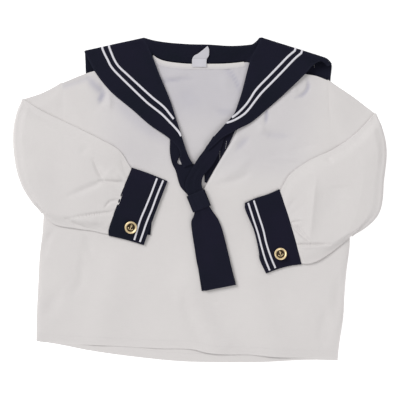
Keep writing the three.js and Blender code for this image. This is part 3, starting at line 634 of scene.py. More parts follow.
def bump(tree, height, distance, normal=None):
    node = tree.nodes.new("ShaderNodeBump")
    node.inputs["Strength"].default_value = 1.0
    node.inputs["Distance"].default_value = distance
    feed(tree, node.inputs["Height"], height)
    feed(tree, node.inputs["Normal"], normal)
    return node.outputs["Normal"]


def placed_group(tree, group, **values):
    node = tree.nodes.new("ShaderNodeGroup")
    node.node_tree = group
    for name, value in values.items():
        feed(tree, node.inputs[name.replace("_", " ").capitalize()], value)
    return node.outputs


def new_material(name):
    """A material under its name. Returns its tree and the sockets of its Principled shader."""
    materials[name] = bpy.data.materials.new(name)
    materials[name].use_nodes = True
    tree = materials[name].node_tree
    return tree, tree.nodes["Principled BSDF"].inputs


def add_cloth(name, cloth):
    tree, shader = new_material(name)
    threads = placed_group(tree, weave, pitch=cloth["pitch"], twill=cloth["twill"], slub=cloth["slub"])
    tones = {tone: (*cloth[tone], 1) for tone in ("base", "second", "rubbed", "beneath")}
    colour = placed_group(tree, patches, **tones, rub=cloth["rub"], thread=threads["Thread"],
                          thread_contrast=cloth["contrast"])
    small = placed_group(tree, rumple, scale=cloth["rumple"])
    normal = bump(tree, small["Height"], cloth["rumple_mm"] * MM)
    feed(tree, shader["Normal"], bump(tree, threads["Height"], cloth["weave_mm"] * MM, normal))
    feed(tree, shader["Base Color"], colour["Color"])
    shader["Roughness"].default_value = cloth["roughness"]
    shader["Specular IOR Level"].default_value = cloth["specular"]


for name, cloth in CLOTHS.items():
    add_cloth(name, {**USUAL, **cloth})
print("cloths:", list(materials))

# %% [markdown]
# ## The back
#
# The back is one piece from the shoulders to the hem. Only its inside shows, in the V of the
# neck and as a strip below the front hem. Its plan comes from the seams: each row runs from the
# right side to the left side, and the shoulder and hem rows take the curve of their edge. An
# outline filled with faces would be simpler, but it has no points inside it for creases to move.

# %% Seams of the body
RIGHT_ARMHOLE = [(-158.5, 134.5), (-157.5, 92), (-161, 40), (-179.5, -6)]
LEFT_ARMHOLE = [(147, 137.5), (149.5, 89.5), (156.5, 34.5), (171.5, -30)]
RIGHT_SIDE = [(-179.5, -6), (-181.4, -36.8), (-184.6, -64), (-186.6, -102), (-188, -132), (-188.5, -162)]
LEFT_SIDE = [(171.5, -30), (172.5, -50), (168.7, -82), (166.4, -110), (164.9, -136), (160.3, -166),
             (158.5, -184)]
RIGHT_SHOULDER = [(-158.5, 134.5), (-131, 145.5), (-103.5, 153), (-78, 160), (-57.5, 166.3)]
LEFT_SHOULDER = [(59.5, 158.3), (92, 152), (120.5, 145), (134, 142.5), (147, 137.5)]
FRONT_HEM = [(-188.5, -162), (-158.5, -165.5), (-119, -167.3), (-82.5, -169), (-46, -171),
             (-9, -172), (9, -176.2), (25.5, -177.8), (58.5, -178.3), (88, -181), (117.5, -182),
             (158.5, -184)]
BACK_HEM = [(-188.5, -162.5), (-172, -164.5), (-157, -167.2), (-131, -172.5), (-83, -179.5),
            (-31, -185), (0, -186.5), (73.5, -186.5), (102.5, -185), (126.5, -184), (158.5, -184.5)]
NECKLINE_RIGHT = [(-58, 165.5), (-52, 141), (-47.5, 117), (-42, 94), (-35, 73), (-26, 52.5),
                  (-15.5, 32), (-3.5, 12.5)]
NECKLINE_LEFT = [(60, 157.5), (55.5, 134), (51, 112), (46.5, 93), (39.5, 73), (28.5, 54.5),
                 (17.5, 36), (4, 11.5)]
# one row a place along the back neck: on the rolled edge, on the seam
NECK_BAND = [
    ((-54, 181), (-49.5, 164)),
    ((-38, 178.5), (-40, 160)),
    ((-12, 176.5), (-16, 157)),
    ((10.5, 176), (6, 156.8)),
    ((35, 174.5), (27.5, 157)),
    ((54, 175.5), (43, 158.2)),
    ((62, 177), (51.5, 159)),
]
print("hem width, mm:", round(math.dist(FRONT_HEM[0], FRONT_HEM[-1])))

# %% Plan of a body panel
HALF_COLUMNS, ARMHOLE_ROWS, BODY_ROWS, V_ROW = 10, 8, 20, 7
SHOULDER_FADE, HEM_FADE = 3, 5
MIDDLE_FINE = 4


def body_side(armhole, side, rows):
    """Right or left edge of the body at rows, down the armhole and then the side seam."""
    upper = even_line(armhole, np.clip(rows / ARMHOLE_ROWS, 0, 1))
    lower = even_line(side, np.clip((rows - ARMHOLE_ROWS) / (BODY_ROWS - ARMHOLE_ROWS), 0, 1))
    return np.where((rows < ARMHOLE_ROWS)[:, None], upper, lower)


def body_plan(rows, halves, middle, neck_right, neck_left, neck_rows, neck_top, hem):
    """Plan of a body panel: right block, neck block and left block of columns, side by side."""
    columns = 2 * HALF_COLUMNS + middle
    right_edge = body_side(RIGHT_ARMHOLE, RIGHT_SIDE, rows)
    left_edge = body_side(LEFT_ARMHOLE, LEFT_SIDE, rows)

    def neck_edge(neck, column):
        hem_point = even_line(hem, [column / columns])[0]
        share = np.clip((rows - neck_rows) / (BODY_ROWS - neck_rows), 0, 1)[:, None]
        upper = smooth_line(neck, rows / max(neck_rows, 1)) if neck_rows else np.array(neck * len(rows))
        return np.where((rows < neck_rows)[:, None], upper, mix(np.array(neck[-1]), hem_point, share))

    right_neck = neck_edge(neck_right, HALF_COLUMNS)
    left_neck = neck_edge(neck_left, columns - HALF_COLUMNS)
    blocks = [
        (right_edge, right_neck, RIGHT_SHOULDER, 0, HALF_COLUMNS, halves),
        (right_neck, left_neck, neck_top, HALF_COLUMNS, columns - HALF_COLUMNS,
         np.linspace(0, 1, MIDDLE_FINE * middle + 1)),
        (left_neck, left_edge, LEFT_SHOULDER, columns - HALF_COLUMNS, columns, 1 - halves[::-1]),
    ]
    top_fade = np.clip(1 - rows / SHOULDER_FADE, 0, 1)[:, None, None]
    hem_fade = np.clip(1 - (BODY_ROWS - rows) / HEM_FADE, 0, 1)[:, None, None]
    plans = []
    for start, end, top, first, last, shares in blocks:
        straight = mix(start[:, None], end[:, None], shares[None, :, None])
        top_bow = 0 if top is None else smooth_line(top, shares) - straight[0]
        hem_bow = even_line(hem, mix(first, last, shares) / columns) - straight[-1]
        plans.append(straight + top_fade * top_bow + hem_fade * hem_bow)
    return np.concatenate([plans[0][:, :-1], plans[1][:, :-1], plans[2]], axis=1)


def edge_distance(plan):
    """Distance of each point from the right or left edge, and from the last row."""
    side = np.minimum(apart(plan, plan[:, :1]), apart(plan, plan[:, -1:]))
    return side, apart(plan, plan[-1:])


print("rows of the body:", BODY_ROWS)

# %% [markdown]
# The creases of the back show inside the neck only. Their troughs also get painted shade: a
# darker tint along them, from a table read by the same function: points, width and how much
# darker.

# %% Creases of the back, inside the neck
BACK_CREASES = [
    ([(-54, 135.5), (-41.4, 136.9), (-27.6, 138.6), (-12, 140)], 1.8, -1.3),
    ([(-39, 141.5), (-27, 143.4), (-16, 145)], 4.0, 1.3),
    ([(27, 153), (33.4, 147.9), (42.3, 135.4), (45, 122)], 1.9, -1.1),
    ([(25.3, 143.8), (29.5, 136), (32.2, 128.8)], 4.0, 1.2),
    ([(12.2, 103.5), (22, 102.5), (36, 100.8)], 4.0, -0.9),
    ([(-20.7, 128.8), (-16, 121), (-11.5, 115)], 6.0, -0.85),
]
# painted shade: a darker tint along the troughs inside the neck opening
BACK_PAINTED_SHADE = [
    ([(-56, 135.2), (-41.4, 136.9), (-27.6, 138.6), (-11, 140)], 1.9, 0.36),
    ([(28, 153), (33.4, 147.9), (42.3, 135.4), (46, 118)], 2.0, 0.45),
    ([(18, 102), (29, 101), (42, 100)], 3.0, 0.3),
    ([(-22, 128), (-14, 116), (-8, 104)], 12.0, 0.12),
]
PINCH_HEIGHT = 0.35
PINCHES = [(-47, 1.3), (-35, -1), (-26, 1), (-10, -1), (12, 1.4), (28, -1), (36, 1), (47, -1.6)]
for x, share in PINCHES:
    BACK_CREASES.append(([(x, 151), (x + 0.6, 147), (x + 0.4, 142)], 1.5, PINCH_HEIGHT * share))
print("creases of the back:", len(BACK_CREASES))

# %% Hems and what lies beneath
COTTON = 0.8
UPPER_ROWS_END, HEM_ROWS = 19.2, (19.25, 19.98, 18)
HEM_DEPTH, HEM_STITCH, HEM_RAMP = 11.0, 9.4, 1.6
HEM_LAYER, HEM_PUCKER, HEM_GROOVE, HEM_EDGE = 0.08, 0.05, 0.05, 0.3
GROOVE_WIDTH, EDGE_ROUND = 0.8, 0.7
SIDE_SOFT, SIDE_REACH, LOW_SOFT = 12.0, 60.0, 50.0


def body_rows(count):
    """Rows down a body panel, closer together at the turned-up hem."""
    return np.concatenate([np.linspace(0, UPPER_ROWS_END, count), np.linspace(*HEM_ROWS), [BODY_ROWS]])


def puckers(x, turn, sway, slow):
    """Small waves along a seam, whose spacing itself comes and goes."""
    return np.sin(x * turn + sway * np.sin(x * slow))


def turned_hem(x, hem):
    """Height that a turned-up hem adds: a second layer, a groove at its stitches, fine puckers."""
    turned = soft_step((HEM_DEPTH - hem) / HEM_RAMP)
    layer = turned * (HEM_LAYER + HEM_PUCKER * puckers(x, 1.15, 0.8, 0.21))
    groove = HEM_GROOVE * hump(hem - HEM_STITCH, GROOVE_WIDTH)
    return layer - groove - HEM_EDGE * round_off(hem, EDGE_ROUND)


def flap_cover_and_shade(x, y):
    """How much of the navy flap lies beneath each place, from 0 to 1. Its soft edges are wide,
    so the tint fades slowly from chest to belly and reaches past the flap: show-through and painted shade.
    """
    right, left, low = beyond_flap(x, y)
    sides = soft_step((SIDE_SOFT - right) / SIDE_REACH) * soft_step((SIDE_SOFT - left) / SIDE_REACH)
    return sides * soft_step(0.5 - low / LOW_SOFT)


print("rows of the back:", len(body_rows(88)))

# %% Back shell
BACK_TROUGH, BACK_RIDGE = -1.0, 1.6
# tint in the neck opening: navy show-through, with painted shade that grows towards the collar at the top
BACK_SEEN_AND_SHADE = {"low": 0.30, "high": 0.51, "from": 70, "over": 50}
EDGE_WEAR_AND_HIGHLIGHT = 2.5
neck_ends = (RIGHT_SHOULDER[-1], LEFT_SHOULDER[0])
neck_top = [neck_ends[0]] + [(x, y - LAY_GAP) for roll, (x, y) in NECK_BAND]
neck_top.append(neck_ends[1])
back_plan = body_plan(body_rows(88), fine_ends(36), len(neck_top) - 1, [neck_ends[0]], [neck_ends[1]], 0,
                      neck_top, BACK_HEM)
x, y = back_plan[..., 0], back_plan[..., 1]
side, hem = edge_distance(back_plan)
back_rise = np.clip(crease_height(x, y, BACK_CREASES), BACK_TROUGH, BACK_RIDGE) + turned_hem(x, hem)
back_grid = np.dstack([back_plan, flap_lift(x, y) + WALL + back_rise])
back_under = np.dstack([back_plan, flap_lift(x, y)])
# lighter white along the side and hem edges: wear and painted highlight
worn = round_off(np.minimum(side, hem), EDGE_WEAR_AND_HIGHLIGHT)
# painted shade: the tint over the flap grows towards the top of the neck opening, under the collar
up = soft_step((y - BACK_SEEN_AND_SHADE["from"]) / BACK_SEEN_AND_SHADE["over"])
seen_through_and_shade = flap_cover_and_shade(x, y) * mix(BACK_SEEN_AND_SHADE["low"], BACK_SEEN_AND_SHADE["high"], up)
# painted shade along the creases is added to the tint
seen_through_and_shade = np.clip(seen_through_and_shade + crease_height(x, y, BACK_PAINTED_SHADE), 0, 1)
add_shell("back_shell", back_grid, back_under, "white_cotton", back_plan,
          worn=worn, beneath=seen_through_and_shade)
print_faces("back_shell")

# %% [markdown]
# ## The front
#
# The front has the V neck and carries most of the creases. The V is cut by leaving out the cells
# between the two neck edges. A Boolean modifier could cut it too, but it leaves ragged faces along
# the cut. The rest is the same grid as the back, finer, because this is the face that shows most.

# %% Creases of the front
FRONT_CREASES = [
    ([(-158.7, 130), (-159.4, 112), (-159.4, 95.5)], 4.0, -0.4),
    ([(-162, 130.5), (-143, 136), (-124, 141.5)], 3.0, -0.9),
    ([(-115, 137), (-109.5, 126), (-109.5, 116), (-116, 107)], (1.6, 8.0), -2.0, "sharp"),
    ([(-106, 122), (-104, 114), (-104, 105)], 3.5, 1.4),
    ([(-142, 122), (-132, 101), (-119, 79)], 10.0, -0.65),
    ([(-167.6, -34.5), (-176.6, -47.6), (-180.7, -69)], 4.0, -1.05),
    ([(-132, -41), (-128.5, -51), (-125.7, -60.8)], 5.0, -0.85),
    ([(-161.3, -103.5), (-169, -120), (-179.7, -134.6)], 8.0, -1.05),
    ([(-135, -61), (-138, -95.5), (-145.6, -108.8)], 5.0, -0.85),
    ([(-16.8, -105.8), (-14.1, -127.2), (-1.2, -158.7), (12.2, -174.5)], 7.0, -1.25),
    ([(5, -130), (22, -160), (40, -172)], 11.0, 1.2),
    ([(143.8, -126.5), (143, -148), (141, -169)], 6.0, -1.05),
    ([(159.4, -90), (158.6, -111), (156.4, -132)], 5.0, -0.85),
    ([(123.5, 138), (124.5, 130), (119.5, 122), (111, 118)], 2.2, -1.5),
    ([(106, 131), (108.4, 127.6), (110, 124)], 4.0, 1.1),
    ([(76.6, 107), (76.4, 97), (76.2, 88)], 2.2, -1.3),
    ([(69, 87.4), (71, 82), (73.6, 77)], 4.0, 1.2),
    ([(42, 57), (48.5, 65.4), (56, 71.5)], 4.0, -1.3),
    ([(74.8, 75.9), (88, 74.2), (104, 73.6)], 5.0, -1.0),
    ([(79.7, 51.8), (90, 51.6), (101.1, 50.9)], 1.6, -0.5),
    ([(76.4, 47.6), (96, 48), (117.3, 46)], 2.0, 0.7),
    ([(73.1, 39.4), (78, 39.2), (82.8, 39.4)], 1.6, 0.6),
    ([(96.1, 43.7), (107, 43.3), (119.1, 42.5)], 1.5, -0.45),
    ([(105.8, 57.5), (118, 60.4), (130.6, 62.4)], 4.0, -0.75),
    ([(18.9, 18.1), (46.8, 24.6), (56.7, 31.2)], 3.0, -1.05),
    ([(19.6, 23), (36.8, 32.2), (57.5, 48.3)], 6.0, 1.2),
    ([(181.7, 89.7), (169, 78), (158.7, 63.3)], 7.0, -1.4),
    ([(147.2, 136), (148.6, 112), (149.8, 84)], 1.2, -0.35),
]
# painted shade: a darker tint in the troughs, and beside the collar's lower edge where the lapel shades the
# chest
FRONT_PAINTED_SHADE = [
    ([(-129, 141), (-120, 131), (-110, 123)], 4.5, 0.65),
    ([(-111, 124), (-114, 118), (-116.5, 112)], 3.2, 0.8),
    ([(-103, 118), (-81, 100), (-62, 84), (-38, 66)], 8.0, 0.3),
    ([(-166, 128), (-143, 135), (-122, 142)], 3.2, 0.35),
    ([(123.5, 139), (124.5, 130), (119.5, 122), (110, 118)], 2.2, 0.7),
    ([(76.6, 107), (76.4, 97), (76, 88)], 2.0, 0.7),
    ([(42, 57), (48.5, 65.4), (56, 71.5)], 3.5, 0.35),
    ([(72, 76), (88, 74.2), (104, 73.6)], 4.0, 0.2),
]
TROUGH_LIMIT = -1.2


def front_rise(x, y):
    return np.maximum(crease_height(x, y, FRONT_CREASES) + slow_height(x, y), TROUGH_LIMIT)


def resting_top(x, y):
    """What lies on the front rests on its ridges and bridges its troughs."""
    return body_top(x, y) + np.maximum(front_rise(x, y), 0)


print("creases of the front:", len(FRONT_CREASES))

# %% Front shell
NECK_TURN = [(43, 73), (36, 62.5), (28, 50), (19, 35.5), (12, 22.5)]
TURN_RISE, TURN_WIDTH = 0.4, 1.1
SIDE_DROP, SIDE_ROUND, HEM_DROP, HEM_ROUND = 1.25, 6, 0.75, 14
CLEAR_OF_BACK, THINNEST, HEM_DOUBLE = 0.2, 0.15, 0.1
# tint over the navy flap: show-through, and painted shade on the chest near the collar
FRONT_SEEN_AND_SHADE = 0.24
ARMHOLE_ROUND, ARMHOLE_UNMARKED, TURN_HIGHLIGHT = 0.6, 9, 1.3
front_halves = fine_ends(72)
front_rows = body_rows(150)
front_plan = body_plan(front_rows, front_halves, 1, NECKLINE_RIGHT, NECKLINE_LEFT, V_ROW, None, FRONT_HEM)
first_middle = len(front_halves) - 1
keep_front = np.ones((front_plan.shape[0] - 1, front_plan.shape[1] - 1), bool)
keep_front[front_rows[:-1] < V_ROW - 0.01, first_middle:first_middle + MIDDLE_FINE] = False
x, y = front_plan[..., 0], front_plan[..., 1]
side, hem = edge_distance(front_plan)
below_armhole = soft_step((front_rows - ARMHOLE_ROWS) / ARMHOLE_ROUND)[:, None]
drop = SIDE_DROP * round_off(side, SIDE_ROUND) * below_armhole
drop = np.maximum(drop, HEM_DROP * (1 - soft_step(hem / HEM_ROUND)))
from_turn = line_distance(x, y, NECK_TURN)
turned_edge = TURN_RISE * hump(from_turn, TURN_WIDTH)
front_top = body_top(x, y) + front_rise(x, y) + turned_hem(x, hem) + turned_edge - drop
on_back = flap_lift(x, y) + WALL + TOUCH + np.clip(crease_height(x, y, BACK_CREASES), 0, BACK_RIDGE)
front_top = np.maximum(front_top, on_back + CLEAR_OF_BACK)
doubled = HEM_DOUBLE * soft_step((HEM_DEPTH - hem) / 0.9)
front_under = np.minimum(np.maximum(front_top - COTTON + doubled, on_back), front_top - THINNEST)
front_grid = np.dstack([front_plan, front_top])
from_edge = np.minimum(side + ARMHOLE_UNMARKED * (1 - below_armhole), hem)
# lighter white along the edges is wear and painted highlight; along the turned neck edge it is painted
# highlight
worn = np.maximum(round_off(from_edge, EDGE_WEAR_AND_HIGHLIGHT), hump(from_turn, TURN_HIGHLIGHT))
# tint for what lies beneath: navy show-through over the flap, and painted shade in creases and beside the
# collar
seen_through_and_shade = FRONT_SEEN_AND_SHADE * flap_cover_and_shade(x, y) + crease_height(x, y, FRONT_PAINTED_SHADE)
add_shell("front_shell", front_grid, np.dstack([front_plan, front_under]), "white_cotton",
          front_plan, keep=keep_front, worn=worn, beneath=np.clip(seen_through_and_shade, 0, 1))
print_faces("front_shell")

# %% [markdown]
# ## The sleeves
#
# A sleeve is a tube. It lies flat on the floor from the armhole to the elbow, turns over there,
# and comes back across the front to the wrist. The tube is lofted through rings: a ring is the
# upper cloth, a rounded edge, the lower cloth and the other rounded edge. A curve with a bevel
# makes tubes as well, but round ones of one width. Air inside holds the sleeve open a little,
# most in the forearm, and the forearm lies a little over the front near the elbow.

# %% Measures of the sleeves
RIGHT_SLEEVE = [
    RIGHT_ARMHOLE,
    [(-183, 122), (-186.5, 83), (-187.5, 37), (-181, -10.5)],
    [(-203.5, 115.5), (-210.5, 84), (-209.5, 50.5), (-201.5, 18.5), (-181.5, -14)],
    [(-183, 102.5), (-192, 75), (-191, 46), (-181.5, 9), (-168.5, -27)],
    [(-154, 88.5), (-161, 61), (-162, 31), (-156.5, -3.5), (-145, -32)],
    [(-114, 69), (-124, 46), (-129, 18.5), (-127.5, -10.5), (-123, -35)],
    [(-93, 56.5), (-101, 35.5), (-108, 11.5), (-111.5, -15), (-112.5, -37.5)],
    [(-79.5, 36), (-86, 17.5), (-92.5, -1), (-99, -20), (-105.5, -38.5)],
]
LEFT_SLEEVE = [
    LEFT_ARMHOLE,
    [(177, 117.5), (180.5, 80.5), (184, 34.5), (175, -37)],
    [(201.5, 99), (210.5, 61), (207.5, 23), (202, -14.5), (175, -40.5)],
    [(179.5, 76), (188.5, 46), (186.5, 15), (178, -19.5), (160.5, -52.5)],
    [(155, 58.5), (161, 31), (161, 1), (157.5, -32), (147, -62.5)],
    [(126.5, 45), (132, 18.5), (135.5, -11.5), (138, -42.5), (134.5, -70)],
    [(103.5, 28.5), (111.5, 6), (117.5, -20.5), (123, -48.5), (123, -73)],
    [(93, 11), (99.5, -9), (105.5, -28.5), (111.5, -51), (117, -72.5)],
]
SLEEVE_PUFF = [0, 1.3, 1.8, 2.9, 3.2, 3.1, 2.3, 0.2]
FORE_UNDER = [2.3, 2.3, 1.2, 0.3, 0, 0]
ELBOW = 2
SLEEVE_SHARES = np.linspace(0, 1, 101)
PUFF_SHARE = 0.6
PUFF = PUFF_SHARE * np.sin(np.pi * SLEEVE_SHARES)
EDGE_TURNS = np.linspace(0, np.pi, 9)[1:-1]
UPPER_RINGS, TURN_RINGS, FORE_RINGS = 16, 13, 108
EDGE_THICK, EDGE_REACH, CUFF_REACH = 1.7, 16.0, 9.0
ARMHOLE_EASE, FOLD_EASE, ARM_NEAR = 12, 10, 6
print("points round a sleeve:", 2 * len(SLEEVE_SHARES) + 2 * len(EDGE_TURNS))

# %% Rings of a flattened tube


def tube_rings(middles, thickness, facings, nose=None):
    """Rings of a flattened tube. Each has its upper side, far edge, lower side and near edge."""
    half = thickness[..., None] / 2

    def edge(index, inward, turns):
        out = level_unit(middles[:, index] - middles[:, inward])
        reach = half[:, index] if nose is None else nose
        return [middles[:, index] + out * reach * math.sin(turn)
                + facings[:, index] * half[:, index] * math.cos(turn) for turn in turns]

    upper = middles + facings * half
    lower = (middles - facings * half)[:, ::-1]
    far = np.stack(edge(-1, -2, EDGE_TURNS), axis=1)
    near = np.stack(edge(0, 1, EDGE_TURNS[::-1]), axis=1)
    return np.concatenate([upper, far, lower, near], axis=1)


def off_edge(plan, reach=EDGE_REACH):
    """0 along the two edges of a tube and 1 from a reach inwards."""
    width = np.linalg.norm(np.diff(plan, axis=1), axis=-1).sum(axis=1)[:, None]
    return soft_step(np.minimum(SLEEVE_SHARES, 1 - SLEEVE_SHARES) * width / reach)


print("turns at an edge, degrees:", np.degrees(EDGE_TURNS).round())

# %% Course of a sleeve


def sleeve_course(table):
    """Middle points, thickness and facing of a sleeve's rings, from armhole to wrist."""
    lines = np.stack([even_line(across, SLEEVE_SHARES) for across in table])
    steps = np.linspace(0, 1, UPPER_RINGS)
    plan = smooth_line(lines[:ELBOW + 1], steps)
    puff = PUFF * read_between(SLEEVE_PUFF[:ELBOW + 1], steps * ELBOW)[:, None]
    thickness = mix(EDGE_THICK, TUBE, off_edge(plan)) + puff
    from_armhole = apart(plan, plan[:1])
    thickness = mix(FRONT_TOP, thickness, soft_step(from_armhole / ARMHOLE_EASE))
    upper_arm = np.dstack([plan, flap_lift(plan[..., 0], plan[..., 1]) + thickness / 2])
    middles, depths, facings = [upper_arm], [thickness], [upward(upper_arm)]

    elbow, fold = lines[ELBOW], thickness[-1]
    along = np.gradient(elbow, axis=0)
    out = unit(np.stack([along[:, 1], -along[:, 0], np.zeros(len(along))], axis=1))
    out *= np.sign(out[:1, 0] * elbow[0, 0])[:, None]
    gap = mix(TOUCH, LAY_GAP, off_edge(elbow[None])[0])
    radius = (fold + gap) / 2
    for turn in np.linspace(0, np.pi, TURN_RINGS + 2)[1:-1]:
        middle = np.column_stack([elbow, fold / 2 + radius * (1 - math.cos(turn))])
        middles.append((middle + out * (radius * math.sin(turn))[:, None])[None])
        facings.append((-out * math.sin(turn) + UP * math.cos(turn))[None])
        depths.append(fold[None])

    steps = np.linspace(0, 1, FORE_RINGS)
    places = steps * (len(table) - 1 - ELBOW)
    plan = smooth_line(lines[ELBOW:], steps)
    room = off_edge(plan)
    puff = PUFF * read_between(SLEEVE_PUFF[ELBOW:], places)[:, None]
    thickness = mix(EDGE_THICK, TUBE, room) + puff
    floor = resting_top(plan[..., 0], plan[..., 1]) + read_between(FORE_UNDER, places)[:, None] * room
    arm_top, away = height_over(plan, upper_arm + UP * depths[0][..., None] / 2)
    floor = np.maximum(floor, np.where(away < ARM_NEAR, arm_top, 0))
    height = floor + mix(TOUCH, LAY_GAP, room) + thickness / 2
    from_fold = apart(plan, plan[:1])
    height = mix(fold + gap + fold / 2, height, soft_step(from_fold / FOLD_EASE))
    middles.append(np.dstack([plan, height]))
    facings.append(-upward(middles[-1]))
    depths.append(thickness)
    return np.concatenate(middles), np.concatenate(depths), np.concatenate(facings)


print("rings of a sleeve:", len(sleeve_course(RIGHT_SLEEVE)[0]))

# %% [markdown]
# The creases of a sleeve start where the cuff gathers it and at the elbow. They are cut into the
# cloth that shows, the upper side of the ring, and the cloth below stays smooth.

# %% Creases and gathers of the sleeves
RIGHT_SLEEVE_CREASES = [
    ([(-122.4, 46), (-116.2, 32.2), (-110.9, 23)], 2.5, -1.7),
    ([(-116, 21.6), (-98, 20.5), (-74, 18.6)], 1.6, -2.4),
    ([(-110.9, 21.4), (-125.7, 15), (-150.3, 4.9)], 3.5, -1.5),
    ([(-110, 34.5), (-101, 27.6), (-87, 25)], 5.0, 1.6),
    ([(-153.6, -21.4), (-126.5, -16.8), (-101, -14), (-82, -12)], 1.6, -2.2),
    ([(-153.6, -21.4), (-132.3, -32.9), (-107.6, -39.4)], 2.0, -1.6),
    ([(-143.8, -23), (-130, -24), (-115, -25.3)], 5.0, 1.3),
    ([(-109.5, -8.5), (-102.3, -1.6), (-88, -0.6)], 1.4, -1.5),
    ([(-196.3, 64.1), (-181.7, 49.5), (-151.9, 41.1)], 9.0, -0.9),
    ([(-136.9, 52.9), (-132, 58), (-127.7, 61)], 4.0, -0.5),
    ([(-90, 44), (-84, 36), (-76, 28)], 1.6, -1.5),
]
LEFT_SLEEVE_CREASES = [
    ([(133.5, 24), (129.8, -8), (126.8, -42)], (8.0, 12.0), 3.4, "sharp"),
    ([(98, -22), (112, -36), (127, -50)], 1.6, -1.9),
    ([(111, -28), (120, -40), (128, -50.5)], 1.4, -1.6),
    ([(98, -51.2), (118, -51.2), (131, -51), (150, -50.6)], 1.6, -2.2),
    ([(112, -54.4), (130, -54), (150, -53.6)], 2.0, 0.9),
    ([(98, -28.5), (109, -25.4), (118, -24)], 1.5, -1.5),
    ([(167.9, 61), (175.5, 65), (182.9, 67.9)], 8.0, 0.9),
    ([(145.4, 49.5), (148.2, 46.4), (150.7, 42.6)], 3.0, -0.9),
    ([(158.7, 18.4), (159.4, 10), (158.7, 1.2)], 12.0, -0.9),
]
GATHERS = {
    "right": [(7, 0.4, 0.17), (11, 2.0, 0.12), (4, 1.1, 0.2)],
    "left": [(6, 1.7, 0.17), (10, 0.6, 0.12), (4, 2.9, 0.2)],
}
print("creases of the sleeves:", len(RIGHT_SLEEVE_CREASES) + len(LEFT_SLEEVE_CREASES))

# %% Sleeve shells
GATHER_REACH, CARRY_REACH = 20.0, 15.0
WRIST_TUCK = [(0.6, 2.6), (1.6, 1.9), (3.2, 1.5)]
RIDGE_LIMIT, WRIST_EASE, TROUGH_SHARE, WALL_SHARE, FOLD_WEAR_AND_HIGHLIGHT = 3.0, 8.0, 0.72, 0.36, 4
FORE_SLOW = (140, -60)


def add_sleeve(name, table, creases, gathers):
    middles, thickness, facings = sleeve_course(table)
    wrist = middles[-1]
    heading = level_unit(wrist - middles[-3])
    tucks = [wrist + heading * reach for reach, depth in WRIST_TUCK]
    middles = np.concatenate([middles, tucks])
    depths = [np.full(len(PUFF), depth) for reach, depth in WRIST_TUCK]
    thickness = np.concatenate([thickness, np.minimum(depths, thickness[-1])])
    facings = np.concatenate([facings, np.repeat(facings[-1:], len(WRIST_TUCK), axis=0)])
    outer = tube_rings(middles, thickness, facings)
    wall = np.minimum(COTTON, thickness * WALL_SHARE)
    inner = tube_rings(middles, thickness - 2 * wall, facings)
    centre = tube_rings(middles, 0 * thickness, facings)[..., 2]
    turns = len(EDGE_TURNS)
    share = np.concatenate([SLEEVE_SHARES, np.ones(turns), SLEEVE_SHARES[::-1], np.zeros(turns)])
    spread = np.stack([np.interp(share, SLEEVE_SHARES, row) for row in thickness])
    over = np.clip((outer[..., 2] - centre) / (spread / 2), 0, 1)

    x, y = outer[..., 0], outer[..., 1]
    ring = np.arange(len(middles))[:, None]
    on_upper_arm = ring < UPPER_RINGS + TURN_RINGS // 2
    slow = np.where(on_upper_arm, slow_height(x, y), slow_height(x + FORE_SLOW[0], y + FORE_SLOW[1]))
    rise = crease_height(x, y, creases) + slow
    from_armhole = apart(outer[..., :2], outer[:1, :, :2])
    carried = (1 - soft_step(from_armhole / CARRY_REACH)) * on_upper_arm
    rise += carried * crease_height(x, y, FRONT_CREASES)
    last = -len(WRIST_TUCK)
    to_wrist = apart(outer[..., :2], outer[last - 1:last, :, :2])
    waves = sum(size * np.sin(2 * np.pi * count * share + start) for count, start, size in gathers)
    rise += hump(to_wrist, GATHER_REACH) * ~on_upper_arm * waves * np.sin(np.pi * share) ** 0.5
    deepest = np.minimum(-(spread - 2 * COTTON) * TROUGH_SHARE, -TOUCH)
    deepest = mix(deepest, TROUGH_LIMIT, carried)
    highest = np.where(on_upper_arm, RIDGE_LIMIT, RIDGE_LIMIT * soft_step(to_wrist / WRIST_EASE))
    rise = np.clip(rise, deepest, highest) * over
    rise[last:] = 0
    for rings in (outer, inner):
        rings[..., 2] += rise
    # lighter white round the elbow fold: wear and painted highlight
    worn = np.broadcast_to(hump(ring - UPPER_RINGS - TURN_RINGS / 2, FOLD_WEAR_AND_HIGHLIGHT), outer.shape[:2])
    add_shell(name, outer, inner, "white_cotton", measured_run(outer), wrap=True, worn=worn)
    print_faces(name)


add_sleeve("right_sleeve_shell", RIGHT_SLEEVE, RIGHT_SLEEVE_CREASES, GATHERS["right"])
add_sleeve("left_sleeve_shell", LEFT_SLEEVE, LEFT_SLEEVE_CREASES, GATHERS["left"])

# %% [markdown]
# ## The cuffs
#
# A cuff is a double band of navy cloth, buttoned into a ring and pressed flat. It is a short
# stiff tube, so its faces stay flat and its edges are folds. A flattened box would be simpler, but
# a cuff is open at both ends and shows its thickness there. The row of stitches along each edge
# pulls the cloth down a little, and so does the button.

